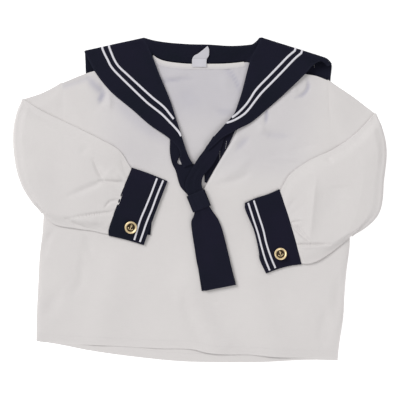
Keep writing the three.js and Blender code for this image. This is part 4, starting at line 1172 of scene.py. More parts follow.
# %% Measures of the cuffs
CUFFS = {
    "right": {
        "sections": [[(-78.7, 36.1), (-90.6, 7), (-105.1, -35.2), (-105.1, -39.8)],
                     [(-58, 29), (-84.5, -44.6)],
                     [(-37.7, 20.6), (-49, -8.7), (-54.3, -22.7), (-64.2, -50.7)]],
        "underlap": 3.5, "button": (-79.5, -31.5), "tilt": (2, 4), "turn": -20,
        "inner": [(-49.3, 24.9), (-56.3, 6.5), (-62.4, -8.4), (-68.6, -23.2), (-73.3, -38.6),
                  (-75.5, -46)],
        "outer": [(-42.2, 22.5), (-49.7, 4.2), (-55.3, -10.9), (-61.3, -25.7), (-66.5, -40.9),
                  (-69.1, -48.2)],
    },
    "left": {
        "sections": [[(91.5, 11.3), (104.8, -28.5), (116.5, -72.7)],
                     [(78.5, 5.6), (91, -33), (103, -74.6)],
                     [(65.2, 1.4), (77.5, -37), (89.5, -78.2)],
                     [(51.6, -4.5), (51.6, -9.3), (62.2, -35.7), (67.7, -59.9), (68.5, -68),
                      (75.4, -83.4)]],
        "underlap": 0, "button": (92.5, -62.5), "tilt": (-16, 5), "turn": 18,
        "inner": [(61.8, -0.5), (67.8, -19.1), (72.7, -34.4), (76.3, -50.1), (81.4, -65.5),
                  (86.7, -78.2)],
        "outer": [(55.4, -3.4), (61.3, -22), (66.4, -37.3), (70.5, -52.9), (75, -68.3),
                  (80.1, -80.9)],
    },
}
print("cuffs:", list(CUFFS))

# %% Cuff shells
CUFF_STEPS = np.concatenate([[0, 0.01], np.linspace(0.03, 0.97, 34), [0.985, 1]])
CUFF_WALL, CUFF_LENGTH, CUFF_EDGE, CUFF_SLACK = 1.15, 42.0, 2.5, 0.3
STITCH_INSET, STITCH_DEPTH, STITCH_PULL = 1.8, 0.22, 0.55
OPEN_DROP, WRIST_DROP, DROP_WIDTH = 0.35, 0.25, 0.5
BUTTON_PRESS, BUTTON_REACH = 0.5, 9
CUFF_SLOW = 0.4
UNDERLAP, UNDERLAP_FROM, UNDERLAP_RAMP = (0.66, 0.85), 0.8, 0.2


def stitch_dip(distance):
    """How far a row of stitches pulls the cloth down, at a distance from it."""
    return STITCH_DEPTH * hump(distance, STITCH_PULL)


def add_cuff(side, cuff):
    lines = np.stack([even_line(section, SLEEVE_SHARES) for section in cuff["sections"]])
    plan = smooth_line(lines, CUFF_STEPS)
    x, y = plan[..., 0], plan[..., 1]
    room = off_edge(plan, CUFF_REACH)
    thickness = mix(CUFF_EDGE, TUBE, room)
    middles = np.dstack([plan, resting_top(x, y) + mix(TOUCH, LAY_GAP, room) + thickness / 2])
    facings = upward(middles)
    outer = tube_rings(middles, thickness, facings)
    inner = tube_rings(middles, thickness - 2 * CUFF_WALL + CUFF_SLACK, facings)
    to_open = (1 - CUFF_STEPS) * CUFF_LENGTH
    to_wrist = CUFF_STEPS * CUFF_LENGTH
    dip = stitch_dip(to_open - STITCH_INSET) + stitch_dip(to_wrist - STITCH_INSET)
    dip += OPEN_DROP * hump(to_open, DROP_WIDTH) + WRIST_DROP * hump(to_wrist, DROP_WIDTH)
    button_x, button_y = cuff["button"]
    pressed = BUTTON_PRESS * hump(np.hypot(x - button_x, y - button_y), BUTTON_REACH)
    across = len(SLEEVE_SHARES)
    outer[:, :across, 2] += CUFF_SLOW * slow_height(2 * x, 2 * y) * room - pressed - dip[:, None]
    low = slice(across + len(EDGE_TURNS), 2 * across + len(EDGE_TURNS))
    down = SLEEVE_SHARES[::-1]
    tongue = np.clip((down - UNDERLAP[0]) / (UNDERLAP[1] - UNDERLAP[0]), 0, 1) * (down < UNDERLAP[1])
    heading = level_unit(outer[-1, low] - outer[-4, low])
    reach = cuff["underlap"] * np.clip((CUFF_STEPS - UNDERLAP_FROM) / UNDERLAP_RAMP, 0, 1)[:, None, None]
    for rings in (outer, inner):
        rings[:, low] += heading * tongue[:, None] * reach
    worn = np.maximum(hump(to_open, 1), 0.5 * hump(to_wrist, 1))[:, None] + np.zeros(outer.shape[:2])
    worn[:, across:across + len(EDGE_TURNS)] = 1
    worn[:, 2 * across + len(EDGE_TURNS):] = 1
    add_shell(f"{side}_cuff_shell", outer, inner, "navy_cotton", measured_run(outer), wrap=True,
              worn=worn)
    return outer[:, :across]


cuff_grids = {side: add_cuff(side, cuff) for side, cuff in CUFFS.items()}
print_faces("right_cuff_shell")

# %% [markdown]
# ## The collar
#
# A sailor collar is a square flap behind and two long lapels in front, all one piece. Here the
# flap lies face down under the back, the cloth turns over along the shoulders, and the lapels
# come down the front. The left lapel is pushed up into an open roll at the shoulder. The grid
# follows the cloth: flap rows, turning rows, then rows down the lapels, with the neck band as
# the columns between them. A flap and lapels made apart would need a seam along the fold.

# %% Measures of the collar
# one row a line across a lapel: its place down the lapel, its points, lift and roll
LIFT, ROLL = 2, 3
RIGHT_LAPEL = [
    (0, [(-132.5, 169), (-64.5, 184)]),
    (1, [(-120.5, 147), (-56.5, 169)]),
    (2, [(-103, 125), (-46.5, 144)]),
    (3, [(-77.5, 103.5), (-34.5, 115)]),
    (4, [(-57.5, 86), (-26, 89)], 0.6),
    (5, [(-36, 71), (-20, 70)], 1.7),
    (6, [(-23.5, 57), (-15.5, 56.5)], 1.9),
    (7, [(-23, 45.5), (-12.5, 49)], 1.9),
    (8, [(-18.6, 37.4), (-8.3, 41.5)], 1.9),
]
LEFT_LAPEL = [
    (0, [(146.3, 153), (143.5, 157.5), (137, 160.5), (100, 174.3), (70, 184.5)], 0, 6.6),
    (0.35, [(140, 159), (132, 160.5), (98, 170), (65.5, 176)], 0, 6.2),
    (0.7, [(130.5, 155.3), (123, 157), (90, 164), (60.5, 166)], 0, 4.4),
    (1, [(121, 145), (57.5, 159.5)], 0, 2.6),
    (2, [(94, 119), (48, 124)], 0, 0.4),
    (3, [(75, 102.5), (44.5, 113)]),
    (4, [(58.5, 89), (39, 99)], 0.5),
    (5, [(44, 81.5), (29, 87.5)], 1.4),
    (6, [(26, 71.5), (17, 74)], 1.8),
    (7, [(17.6, 64), (11.6, 67)], 1.8),
    (8, [(9.5, 57), (6.5, 60.5)], 1.8),
]
# one row a line across the flap: its right end, its left end
FLAP_SECTIONS = [
    ((-132, 158), (151.2, 156.2)),
    ((-131.5, 145.5), (150.8, 143.5)),
    ((-126, 85), (142, 85)),
    ((-120.5, 28.5), (135.5, 28.5)),
]
COLLAR_CREASES = [([(-77, 179.4), (-67, 177), (-57.5, 173.6)], 2.5, -0.8)]
print("lapel rows:", len(RIGHT_LAPEL), len(LEFT_LAPEL))

# %% Cloth of the lapels and the fold
NAVY = 1.0


def lapel_points(lapel, shares, places):
    """Middle of a lapel's cloth: a grid of places down it by shares across it."""
    lines = np.stack([even_line(across, shares) for place, across, *heights in lapel])
    at = np.interp(places, [place for place, *others in lapel], np.arange(len(lapel)))
    plan = smooth_line(lines, at / (len(lapel) - 1))
    x, y = plan[..., 0], plan[..., 1]
    lift = column_of(lapel, LIFT, at)[:, None]
    roll = column_of(lapel, ROLL, at)[:, None] * (1 - shares) ** 2
    rest = flap_lift(x, y) + FRONT_TOP + np.maximum(front_rise(x, y), 0)
    height = rest + LAY_GAP + WALL / 2 + lift + roll + crease_height(x, y, COLLAR_CREASES)
    return np.dstack([plan, height])


def fold_points(top, outward, turns):
    """Points and facings round the shoulder fold, from the flap at 0 to the top at 1."""
    radius = (top[:, 2] - WALL / 2) / 2
    angle = np.pi * np.asarray(turns)[:, None]
    middle = top[None] + outward[None] * (radius * np.sin(angle))[..., None]
    middle[..., 2] = WALL / 2 + radius * (1 - np.cos(angle))
    facing = outward[None] * np.sin(angle)[..., None] - UP * np.cos(angle)[..., None]
    return middle, facing


def outward_of(fold):
    along = level_unit(np.gradient(fold, axis=0))
    return np.stack([-along[:, 1], along[:, 0], np.zeros(len(along))], axis=1)


print("outward of a level line:", outward_of(np.array([(0, 0, 0), (1, 0, 0)], float))[0])

# %% Lapels and the neck band between them
NECK_SHIFT, BAND_LENGTH, BAND_SINK, BAND_BLEND = 1.2, 120, 0.1, 7
BAND_WAVE, BAND_TURN = 0.35, 23
NOTCH_DEPTH, NOTCH_PLACE, NOTCH_WIDTH = 0.7, 4.5, 3
LAPEL_SHARES = fine_ends(34)
BAND_STEPS = np.linspace(0, 1, 56)[1:-1]
LAPEL_PLACES = np.concatenate([np.linspace(0, 7.95, 105), [7.985, 8]])
right_grid = lapel_points(RIGHT_LAPEL, LAPEL_SHARES, LAPEL_PLACES)
left_grid = lapel_points(LEFT_LAPEL, LAPEL_SHARES, LAPEL_PLACES)[:, ::-1]

edge_place = int(np.searchsorted(LAPEL_PLACES, 1.0))
shift = np.array([0, NECK_SHIFT])
seams = [seam + shift for roll, seam in NECK_BAND]
rolls = [roll for roll, seam in NECK_BAND]
seam_line = smooth_line([right_grid[edge_place, -1, :2], *seams, left_grid[edge_place, 0, :2]], BAND_STEPS)
roll_line = smooth_line([right_grid[0, -1, :2], *rolls, left_grid[0, 0, :2]], BAND_STEPS)
down = np.minimum(LAPEL_PLACES, 1)[:, None]
at_roll, at_seam = LAYER + FRONT_TOP + LAY_GAP + WALL / 2, LAYER + WALL / 2
band_wave = BAND_WAVE * np.sin(np.pi * down) * np.sin(BAND_STEPS * BAND_TURN)
band_height = mix(at_roll, at_seam, down) + band_wave
from_end = np.minimum(BAND_STEPS, 1 - BAND_STEPS) * BAND_LENGTH
lapel_height = np.where(BAND_STEPS < 0.5, right_grid[:, -1:, 2], left_grid[:, :1, 2])
band_height = mix(band_height, lapel_height - BAND_SINK, hump(from_end, BAND_BLEND))
from_notch = (1 - BAND_STEPS) * BAND_LENGTH - NOTCH_PLACE
band_height -= NOTCH_DEPTH * hump(from_notch, NOTCH_WIDTH) * (1 - 0.5 * down)
band_plan = mix(roll_line[None], seam_line[None], down[..., None])
upper_grid = np.concatenate([right_grid, np.dstack([band_plan, band_height]), left_grid], axis=1)
print("lapels and band:", upper_grid.shape[:2])

# %% The fold and the back flap
FLAP_PLACES = np.linspace(0, 1, 30)
TURN_PLACES = np.linspace(0, 1, 14)[1:-1]
folds = upper_grid[0]
turn_middle, turn_facing = fold_points(folds, outward_of(folds), TURN_PLACES)
width_share = (folds[:, 0] - folds[0, 0]) / (folds[-1, 0] - folds[0, 0])
flap_lines = [mix(np.array(right), np.array(left), width_share[:, None]) for right, left in FLAP_SECTIONS]
flap_plan = smooth_line(np.stack([folds[:, :2]] + flap_lines), 1 - FLAP_PLACES)
flap_grid = np.dstack([flap_plan, np.full(flap_plan.shape[:2], WALL / 2)])
collar_grid = np.concatenate([flap_grid, turn_middle, upper_grid])
facing = np.concatenate([-upward(flap_grid), turn_facing,
                         upward(upper_grid)])
print("whole collar:", collar_grid.shape[:2])

# %% Collar shell
COLLAR_WEAR, INNER_WEAR, EDGE_THIN, EDGE_WIDTH, NAVY_DIP = 1.2, 0.6, 0.55, 0.35, 0.6
lapel_columns = len(LAPEL_SHARES)
below_band = len(flap_grid) + len(turn_middle) + edge_place
keep_collar = np.ones((collar_grid.shape[0] - 1, collar_grid.shape[1] - 1), bool)
keep_collar[below_band:, lapel_columns - 1:1 - lapel_columns] = False


def inset_from(column):
    return apart(collar_grid, collar_grid[:, column:column + 1 or None])


outer_inset = np.minimum(inset_from(0), inset_from(-1))
inner_inset = np.minimum(inset_from(lapel_columns - 1), inset_from(-lapel_columns))
worn = np.clip(hump(outer_inset, COLLAR_WEAR) + INNER_WEAR * hump(inner_inset, COLLAR_WEAR), 0, 1)
half = (NAVY / 2 * (1 - EDGE_THIN * hump(outer_inset, EDGE_WIDTH)))[..., None]
collar_upper = collar_grid + facing * (half - NAVY_DIP * stitch_dip(outer_inset - STITCH_INSET)[..., None])
add_shell("collar_shell", collar_upper, collar_grid - facing * half, "navy_cotton",
          measured_run(collar_grid), keep=keep_collar, worn=worn)
lapel_top = collar_upper[len(flap_grid):]
lapel_facing = facing[len(flap_grid):]
print_faces("collar_shell")

# %% [markdown]
# ## Braid
#
# The braid is a narrow ribbed tape, sewn along both its edges. Its line is measured, and its
# height is read from the lapel or cuff beneath it, so that it follows every bend. Ribs across it
# are real ridges, less than a millimetre apart, because they catch the light even from far away. A
# painted stripe would be less work, but it would have no edge that casts a shadow.

# %% Measures of the braid
BRAID_HALF = np.array([-1, -0.82, -0.45, 0, 0.45, 0.82, 1])
BRAID_DOME = np.array([0.0, 0.75, 0.95, 1.0, 0.95, 0.75, 0.0])
BRAID_DEPTH = 0.55
BRAID_SUNK, NARROWEST, ROOM_LEAST = 0.12, 0.15, 0.03
RIB_STEP, RIB_HEIGHT = 0.42, 0.09
LAPEL_HALF, CUFF_HALF = 1.25, 1.1
COLLAR_BRAIDS = {
    "right_outer": [(-113.3, 176.6), (-109.2, 167.1), (-106, 161), (-103, 154.8), (-99, 149.4),
                    (-89.4, 139.5), (-79.5, 129.9), (-69.6, 120.3), (-59.5, 110.9), (-54, 106.6),
                    (-43.3, 98.1), (-33.6, 88.3), (-28.8, 83.3), (-24.5, 78.2), (-21.6, 73.4)],
    "right_inner": [(-105.6, 178.9), (-101.5, 168.2), (-98.2, 160.8), (-93.8, 154), (-82.1, 142.9),
                    (-70.3, 132), (-58.4, 121.1), (-52.3, 115.8), (-45.9, 110.8), (-40.2, 105.6),
                    (-35.2, 99.4), (-30.3, 93.1)],
    "left_inner": [(110.6, 172.6), (101.7, 165.3), (90.5, 153.8), (79.3, 142.2), (68, 130.7),
                   (63, 124.7), (58.7, 117.9), (54.2, 111.2), (48.9, 105.1), (43.1, 99.5),
                   (36.8, 94.7)],
    "left_outer": [(119.9, 171.2), (110.7, 164), (104.9, 158.3), (93.8, 146.6), (82.6, 135.1),
                   (71.4, 123.8), (66.3, 117.7), (61.4, 111.3), (56.6, 104.9), (51.1, 99.1),
                   (44.5, 94.5), (37.2, 90.8), (28.7, 88)],
}
print("braids on the collar:", list(COLLAR_BRAIDS))

# %% Ribbed tape
braid_lines = {}


def spaced(line, step, *others):
    """A line again with even steps, and other values along it read at the same places."""
    along = run_along(line)
    at = np.linspace(0, along[-1], max(3, int(along[-1] / step) + 1))
    return [np.stack([np.interp(at, along, values[:, axis]) for axis in range(values.shape[1])], axis=1)
            for values in (line, *others)]


def across_of(line, normal):
    return unit(np.cross(normal, np.gradient(line, axis=0)))


def add_braid(name, line, normal, halves):
    """Ribbed tape along a line of points in mm. halves are its half widths on its two sides."""
    wide = np.where(BRAID_HALF < 0, halves[:, :1], halves[:, 1:]) * BRAID_HALF
    ribs = np.where(np.arange(len(line)) % 2, RIB_HEIGHT, 0.0)
    shrink = np.clip(halves.sum(axis=1) / LAPEL_HALF, NARROWEST, 1)[:, None]
    rise = (BRAID_DOME[None] * (BRAID_DEPTH + ribs[:, None]) * shrink)[..., None]
    flat = line[:, None] + across_of(line, normal)[:, None] * wide[..., None]
    run = np.stack([wide, np.broadcast_to(np.arange(len(line))[:, None] * RIB_STEP, wide.shape)], axis=-1)
    worn = np.abs(BRAID_HALF) ** 4
    add_shell(name, flat + normal[:, None] * rise, flat - normal[:, None] * BRAID_SUNK,
              "white_braid", run, worn=worn)
    braid_lines[name] = (line, normal, halves)


print("ribs to a centimetre:", round(10 / (2 * RIB_STEP)))

# %% Braid on lapels and cuffs
FOLD_FROM = 0.35


def lapel_braid(side, key):
    """Braid over the shoulder fold and down the lapel. It runs out where the lapel's edge cuts it."""
    plan = even_line(COLLAR_BRAIDS[f"{side}_{key}"], np.linspace(0, 1, 400))
    grid = right_grid if side == "right" else left_grid
    fold = grid[0]
    from_fold = apart(plan[:, None], even_line(fold[:, :2], np.linspace(0, 1, 300)))
    plan = plan[from_fold.min(axis=1)[:100].argmin():]
    top, _ = height_over(plan, grid, 2.0)
    line = np.column_stack([plan, top])
    facing = upward(line)
    outward = outward_of(fold)[apart(fold[:, :2], plan[0]).argmin()]
    outward = outward * np.sign(outward[1])
    turned, turned_facing = fold_points(line[:1], outward[None], np.linspace(FOLD_FROM, 1, 12)[:-1])
    line = np.concatenate([turned[:, 0], line])
    facing = np.concatenate([turned_facing[:, 0], facing])
    line, facing = spaced(line + facing * NAVY / 2, RIB_STEP, facing)
    facing = unit(facing)
    inner_edge = even_line(grid[edge_place:, -1 if side == "right" else 0, :2], np.linspace(0, 1, 300))
    room = apart(line[:, None, :2], inner_edge).min(axis=1)
    room = np.minimum.accumulate(np.clip(room, ROOM_LEAST, LAPEL_HALF))
    full = np.full(len(line), LAPEL_HALF)
    halves = (np.minimum(full, 2 * room), room) if side == "right" else (room, np.minimum(full, 2 * room))
    add_braid(f"{side}_collar_tape_{key}", line, facing, np.stack(halves, axis=1))


def cuff_braid(side, key):
    plan = even_line(CUFFS[side][key], np.linspace(0, 1, 200))
    top, _ = height_over(plan, cuff_grids[side], 1.5)
    line = np.column_stack([plan, top])
    line, facing = spaced(line, RIB_STEP, upward(line))
    add_braid(f"{side}_cuff_tape_{key}", line, facing, np.full((len(line), 2), CUFF_HALF))


for side in ("right", "left"):
    for key in ("outer", "inner"):
        lapel_braid(side, key)
        cuff_braid(side, key)
print("braids:", len(braid_lines))

# %% [markdown]
# ## Neck binding, label and the turned-back strip
#
# A white strip covers the neck seam inside, with a folded tape label sewn on top of it. Beside
# the left neckline the collar's under side shows, because the lapel is turned back there. All
# three are narrow, so a grid between two measured edges gives their outline at once.

# %% Bands of cloth between two edges
BAND_ROUND = {"width": 0.4, "above": 0.35, "below": 0.25}


def band_points(table, columns, rows):
    """Plan of a band: rows along it by columns across it. A table's row starts with its two edges."""
    shares = np.linspace(0, 1, rows)
    first, second = (smooth_line([row[edge] for row in table], shares) for edge in (0, 1))
    return mix(first[:, None], second[:, None], np.asarray(columns)[None, :, None])


def add_band(name, plan, top, thickness, material, **marks):
    """Thin shell with its upper face at a height and its edges rounded."""
    side, last = edge_distance(plan)
    edge = hump(np.minimum(side, np.minimum(apart(plan, plan[:1]), last)), BAND_ROUND["width"])
    upper = np.dstack([plan, top - BAND_ROUND["above"] * thickness * edge])
    lower = np.dstack([plan, top - thickness + BAND_ROUND["below"] * thickness * edge])
    # rounded edges take the rub mark: wear, and on white cotton a lighter painted highlight
    marks.setdefault("worn", edge)
    add_shell(name, upper, lower, material, measured_run(upper), **marks)
    return upper


print("rounded edge, mm:", BAND_ROUND["width"])

# %% Measures of the binding, label and strip
# one row a place along a band: one edge, the other edge and, for the label, its height
HEIGHT = 2
BINDING = [
    ((-55, 166.8), (-53.2, 160.6)),
    ((-49, 162), (-50, 156.5)),
    ((-40, 158.7), (-42.5, 152.6)),
    ((-16, 155.7), (-16.5, 149.5)),
    ((6, 155.5), (6, 149.2)),
    ((27.5, 155.7), (28, 149.5)),
    ((43, 156.9), (44.5, 151)),
    ((50.5, 157.8), (52.5, 152.8)),
]
LABEL = [
    ((-9, 153), (7.6, 153), 4.3),
    ((-8.9, 162), (7.8, 162), 4.6),
    ((-6.9, 165.6), (10, 165.6), 5.6),
    ((-2.2, 168.3), (10.5, 169.5), 6.3),
    ((3.2, 172.3), (10.4, 173.2), 6.9),
    ((8, 176.4), (8.8, 176.8), 7.4),
]
UNDER_COLLAR = [
    ((27, 84), (42.6, 84.5)),
    ((18, 66), (34, 65.5)),
    ((11, 50), (25, 49.5)),
    ((5.5, 31), (13.8, 30.8)),
    ((5.3, 20.5), (7.6, 19.6)),
]
print("band rows:", len(BINDING), len(LABEL), len(UNDER_COLLAR))

# %% Binding, label and strip
BINDING_THICK, BINDING_GATHER = (0.55, 0.16), 0.22
LABEL_THICK, LABEL_FOLD, LABEL_FOLD_DIP, LABEL_WAVE = 0.45, 162, 0.5, 0.25
STRIP_THICK, STRIP_WAVE, BAND_EDGE = 0.9, 0.15, 0.02
plan = band_points(BINDING, fine_ends(10, BAND_EDGE), 110) + shift
x, y = plan[..., 0], plan[..., 1]
across = fine_ends(10, BAND_EDGE)[None, :]
pinched = BINDING_GATHER * puckers(x, 0.9, 2, 0.13) * across**2
thick = mix(*BINDING_THICK, soft_step(across))
rest = flap_lift(x, y) + WALL + TOUCH + np.maximum(crease_height(x, y, BACK_CREASES), 0)
# the binding takes the same tint, navy show-through and painted shade, darker towards its lower edge
binding_grid = add_band("neck_binding_strip", plan, rest + thick + np.maximum(pinched, 0), thick,
                        "white_cotton", beneath=0.3 * soft_step((across - 0.35) / 0.5))
plan = band_points(LABEL, fine_ends(14, BAND_EDGE), 60)
height = column_of(LABEL, HEIGHT, np.linspace(0, len(LABEL) - 1, 60))[:, None]
height = height + LABEL_WAVE * np.sin(plan[..., 0] * 0.35)
height -= LABEL_FOLD_DIP * hump(plan[..., 1] - LABEL_FOLD, 0.7)
label_grid = add_band("neck_label_tape", plan, height, LABEL_THICK, "label_tape")
plan = band_points(UNDER_COLLAR, fine_ends(16, BAND_EDGE), 74)
x, y = plan[..., 0], plan[..., 1]
under_height = flap_lift(x, y) + WALL + TOUCH + STRIP_THICK
under_height += STRIP_WAVE * (1 + np.sin(x * 0.45 + y * 0.1))
under_grid = add_band("left_under_collar_strip", plan, under_height, STRIP_THICK, "navy_cotton")
print("bands:", binding_grid.shape, label_grid.shape, under_grid.shape)

# %% [markdown]
# ## The tie
#
# The tie is two soft strips that come out from under the lapels, cross, and go through a loop,
# the keeper. Pulled through the loop, the cloth gathers into pleats, which spread and fade
# towards the tail. A simulation could pull the strips through, but its pleats would lie anywhere.
# Here they are ridges along the strip, set by a small table.

# %% Measures of the tie ends
# one row a place down a tie end: right edge, left edge and height over the front
RIGHT_TIE = [
    ((-34.5, 70), (-22, 72), 0.5),
    ((-34.5, 54), (-22.5, 53.5), 0.5),
    ((-32, 42), (-25.6, 42), 0.5),
    ((-28, 33.5), (-5.5, 40.5), 0.5),
    ((-22.5, 15.5), (0, 22), 0.8),
    ((-13.7, 4.9), (3.3, 11.7), 1.8),
    ((-6.3, -13.7), (10.7, -6.9), 1.8),
    ((-8, -24), (18.5, -20.5), 0.9),
    ((-8.5, -37), (23, -34), 0.5),
    ((-5, -60), (28, -56), 0.5),
    ((2, -104.8), (31.5, -99), 0.5),
]
LEFT_TIE = [
    ((15, 73), (29, 76), 0.5),
    ((6, 59), (24, 59), 0.5),
    ((-2.5, 47.5), (15.5, 42), 2.1),
    ((-10.5, 33.5), (4, 27.5), 2.3),
    ((-17, 18.5), (2, 19.5), 2.6),
    ((-13.7, 4.9), (3.3, 11.7), 3.3),
    ((-6.3, -13.7), (10.7, -6.9), 3.3),
    ((-10, -25), (21.5, -23.5), 2.6),
    ((-9.5, -34), (26, -35.5), 2.2),
    ((-6, -57), (32, -59), 2.2),
    ((-3, -75), (36, -76), 2.2),
    ((5.5, -104.5), (41.5, -97.5), 2.2),
]
print("rows of the tie ends:", len(RIGHT_TIE), len(LEFT_TIE))

# %% Tie shells
TIE_PLEATS = [(0.16, 0.05, 0.42), (0.38, 0.07, -0.38), (0.58, 0.06, 0.36), (0.82, 0.06, -0.36)]
TIE_SHARES = fine_ends(30, 0.012)
TIE_HEM, TIE_DOUBLE, TIE_THICK, TIE_SLOW = 6.0, 0.12, 0.95, 0.25
PLEATS_ABOVE, PLEATS_BELOW, KEEPER_GRIP, KEEPER_REACH = 36, 26, 0.75, 13
KEEPER_TOP, KEEPER_MIDDLE, KEEPER_LOW = 6, -2, -10


def add_tie(name, table, pleat_shift, room):
    steps = 190
    plan = band_points(table, TIE_SHARES, steps)
    x, y = plan[..., 0], plan[..., 1]
    places = np.linspace(0, len(table) - 1, steps)
    above, below = hump(y - KEEPER_TOP, PLEATS_ABOVE), hump(y - KEEPER_LOW, PLEATS_BELOW)
    gather = room * np.where(y < KEEPER_MIDDLE, below, above)
    pleats = sum(height * hump(TIE_SHARES - middle - pleat_shift, width)
                 for middle, width, height in TIE_PLEATS)
    in_keeper = np.exp(-(((y - KEEPER_MIDDLE) / KEEPER_REACH) ** 4))
    top = resting_top(x, y) + column_of(table, HEIGHT, places)[:, None] + WALL
    top += gather * (1 - KEEPER_GRIP * in_keeper) * pleats
    tail = apart(plan, plan[-1:])
    top += TIE_DOUBLE * soft_step((TIE_HEM + 1 - tail) / 0.8) - stitch_dip(tail - TIE_HEM)
    top += TIE_SLOW * slow_height(x * 3, y * 2) * (1 - in_keeper)
    return add_band(name, plan, top, TIE_THICK, "navy_cotton")


tie_grids = {
    "right": add_tie("right_tie_cloth", RIGHT_TIE, 0.03, 0.6),
    "left": add_tie("left_tie_cloth", LEFT_TIE, 0.0, 1.0),
}
print("tie length, mm:", round(float(run_along(tie_grids["left"][:, 20])[-1]), 1))

# %% [markdown]
# The keeper is a short tube like a cuff, so the same rings make it. It bulges over the tie ends.

# %% Keeper loop
KEEPER = {"middle": (-1.5, -1), "along": (0.373, -0.928), "length": 20, "half": 9.5, "nose": 1.65,
          "over": 0.3, "height": 5.7, "wall": 0.9}
KEEPER_RIPPLES = [(0.22, 0.75, 0.6), (0.15, 1.7, 0)]
KEEPER_BULGE, KEEPER_SINK, KEEPER_EDGE, KEEPER_WEAR, KEEPER_COLUMNS = 0.35, 0.25, 0.3, 0.35, 25
steps = np.linspace(-0.5, 0.5, 30)
sideways = np.linspace(-1, 1, KEEPER_COLUMNS) * KEEPER["half"]
down, across = np.meshgrid(steps * KEEPER["length"], sideways, indexing="ij")
along_x, along_y = KEEPER["along"]
x = KEEPER["middle"][0] + down * along_x - across * along_y
y = KEEPER["middle"][1] + down * along_y + across * along_x
centre = np.dstack([x, y, resting_top(x, y) + KEEPER["over"] + KEEPER["height"] / 2])
facings = upward(centre)
depth = np.full(x.shape, KEEPER["height"])
outer = tube_rings(centre, depth, facings, KEEPER["nose"])
inner = tube_rings(centre, depth - 2 * KEEPER["wall"], facings, KEEPER["nose"] - KEEPER["wall"])
bulge = KEEPER_BULGE * np.sin((steps + 0.5) * np.pi)[:, None] - KEEPER_SINK
ripple = sum(size * np.sin(across * turn + start) for size, turn, start in KEEPER_RIPPLES)
for rings in (outer, inner):
    rings[:, :KEEPER_COLUMNS, 2] += ripple + bulge
edge = hump(np.minimum(steps + 0.5, 0.5 - steps) * KEEPER["length"], 0.7)[:, None]
outer[:, :KEEPER_COLUMNS, 2] -= KEEPER_EDGE * edge
add_shell("tie_keeper_loop", outer, inner, "navy_cotton", measured_run(outer), wrap=True,
          worn=np.clip(KEEPER_WEAR + edge, 0, 1))
print_faces("tie_keeper_loop")

# %% [markdown]
# ## The buttons
#
# Each cuff has a pressed brass button with a rope rim and a small anchor in a dark dish, a
# common ornament on sailor clothes. The body is turned: a profile swept round. The rope is a
# ring with slanting grooves, and the anchor is built from short round bars. Sculpting could give
# the same relief, but turned and swept parts are exact and need fewer faces.

# %% Button metal
tree, shader = new_material("gilt_metal")
place = object_place(tree)
scratches = noise(tree, place, 900.0, 4.0, 0.7)
tone = blend_colors(tree, scratches, (0.95, 0.80, 0.52, 1), (0.80, 0.62, 0.35, 1))
feed(tree, shader["Base Color"], blend_colors(tree, read_mark(tree, "worn"), (0.045, 0.03, 0.018, 1), tone))
feed(tree, shader["Roughness"], calculate(tree, "MULTIPLY_ADD", scratches, 0.3, 0.32))
feed(tree, shader["Normal"], bump(tree, noise(tree, place, 1500.0, 2.0), 0.00004))
shader["Metallic"].default_value = 0.95
print("metal:", materials["gilt_metal"].name)

# %% Button profile and bars
BUTTON_PROFILE = [(0, 0.3), (2.3, 0.3), (2.4, 1.6), (5.9, 1.7), (6.9, 2.05), (7.2, 2.5), (7.05, 3.0),
                  (6.6, 3.3), (5.9, 3.3), (5.3, 2.95), (4.7, 2.45), (4.2, 2.25), (2.5, 2.35), (0, 2.45)]
AROUND = 96
ORNAMENT = 2.6
ROPE = {"radius": 6.35, "height": 3.12, "size": 0.42, "bulge": 0.13, "strands": 15}
DISH_EDGE, DISH_FADE = 4.6, 0.5


def bar_points(path, size, sides=10):
    """Round bar along a path, closed to a point at both ends."""
    path = np.asarray(path, float)
    along = unit(np.gradient(path, axis=0))
    first = unit(np.cross(along, UP))
    second = np.cross(along, first)
    angles = full_turn(sides)
    ring = first[:, None] * np.cos(angles)[:, None] + second[:, None] * np.sin(angles)[:, None]
    radii = size * np.concatenate([[0.02], np.ones(len(path) - 2), [0.02]])
    return path[:, None] + ring * radii[:, None, None]


def arc(radius, start, end, middle):
    turn = np.radians(np.linspace(start, end, 17))
    return np.column_stack([middle[0] + radius * np.cos(turn), middle[1] + radius * np.sin(turn),
                            np.full(17, ORNAMENT)])


def bar(start, end):
    return np.column_stack([np.linspace(start[0], end[0], 9), np.linspace(start[1], end[1], 9),
                            np.full(9, ORNAMENT)])


print("button across, mm:", 2 * max(radius for radius, height in BUTTON_PROFILE))

# %% Button parts


def button_parts():
    """Grids of points of a button about its own middle, each with its share of bright metal."""
    profile = smooth_line(BUTTON_PROFILE, np.linspace(0, 1, 60))
    angles = full_turn(AROUND)
    body = np.dstack([profile[:, :1] * np.cos(angles), profile[:, :1] * np.sin(angles),
                      np.broadcast_to(profile[:, 1:], (60, AROUND))])
    parts = [(body, np.clip((profile[:, :1] - DISH_EDGE) / DISH_FADE, 0, 1))]
    angles = np.linspace(0, 2 * np.pi, 241)[:, None]
    tube = np.linspace(0, 2 * np.pi, 15)
    ring = ROPE["size"] + ROPE["bulge"] * np.abs(np.sin(ROPE["strands"] * angles + tube)) ** 0.7
    reach = ROPE["radius"] + ring * np.cos(tube)
    rope = np.dstack([reach * np.cos(angles), reach * np.sin(angles), ROPE["height"] + ring * np.sin(tube)])
    bars = [(bar((0, -2.7), (0, 2.2)), 0.38), (bar((-1.5, 1.45), (1.5, 1.45)), 0.3),
            (arc(2.9, 205, 335, (0, 0.2)), 0.36), (arc(0.62, -90, 270, (0, 2.85)), 0.22)]
    bars += [(bar((side * 2.0, -0.5), (side * 3.1, -1.75)), 0.4) for side in (-1, 1)]
    return parts + [(rope, 1)] + [(bar_points(path, size), 0.9) for path, size in bars]


print("parts of a button:", len(button_parts()))

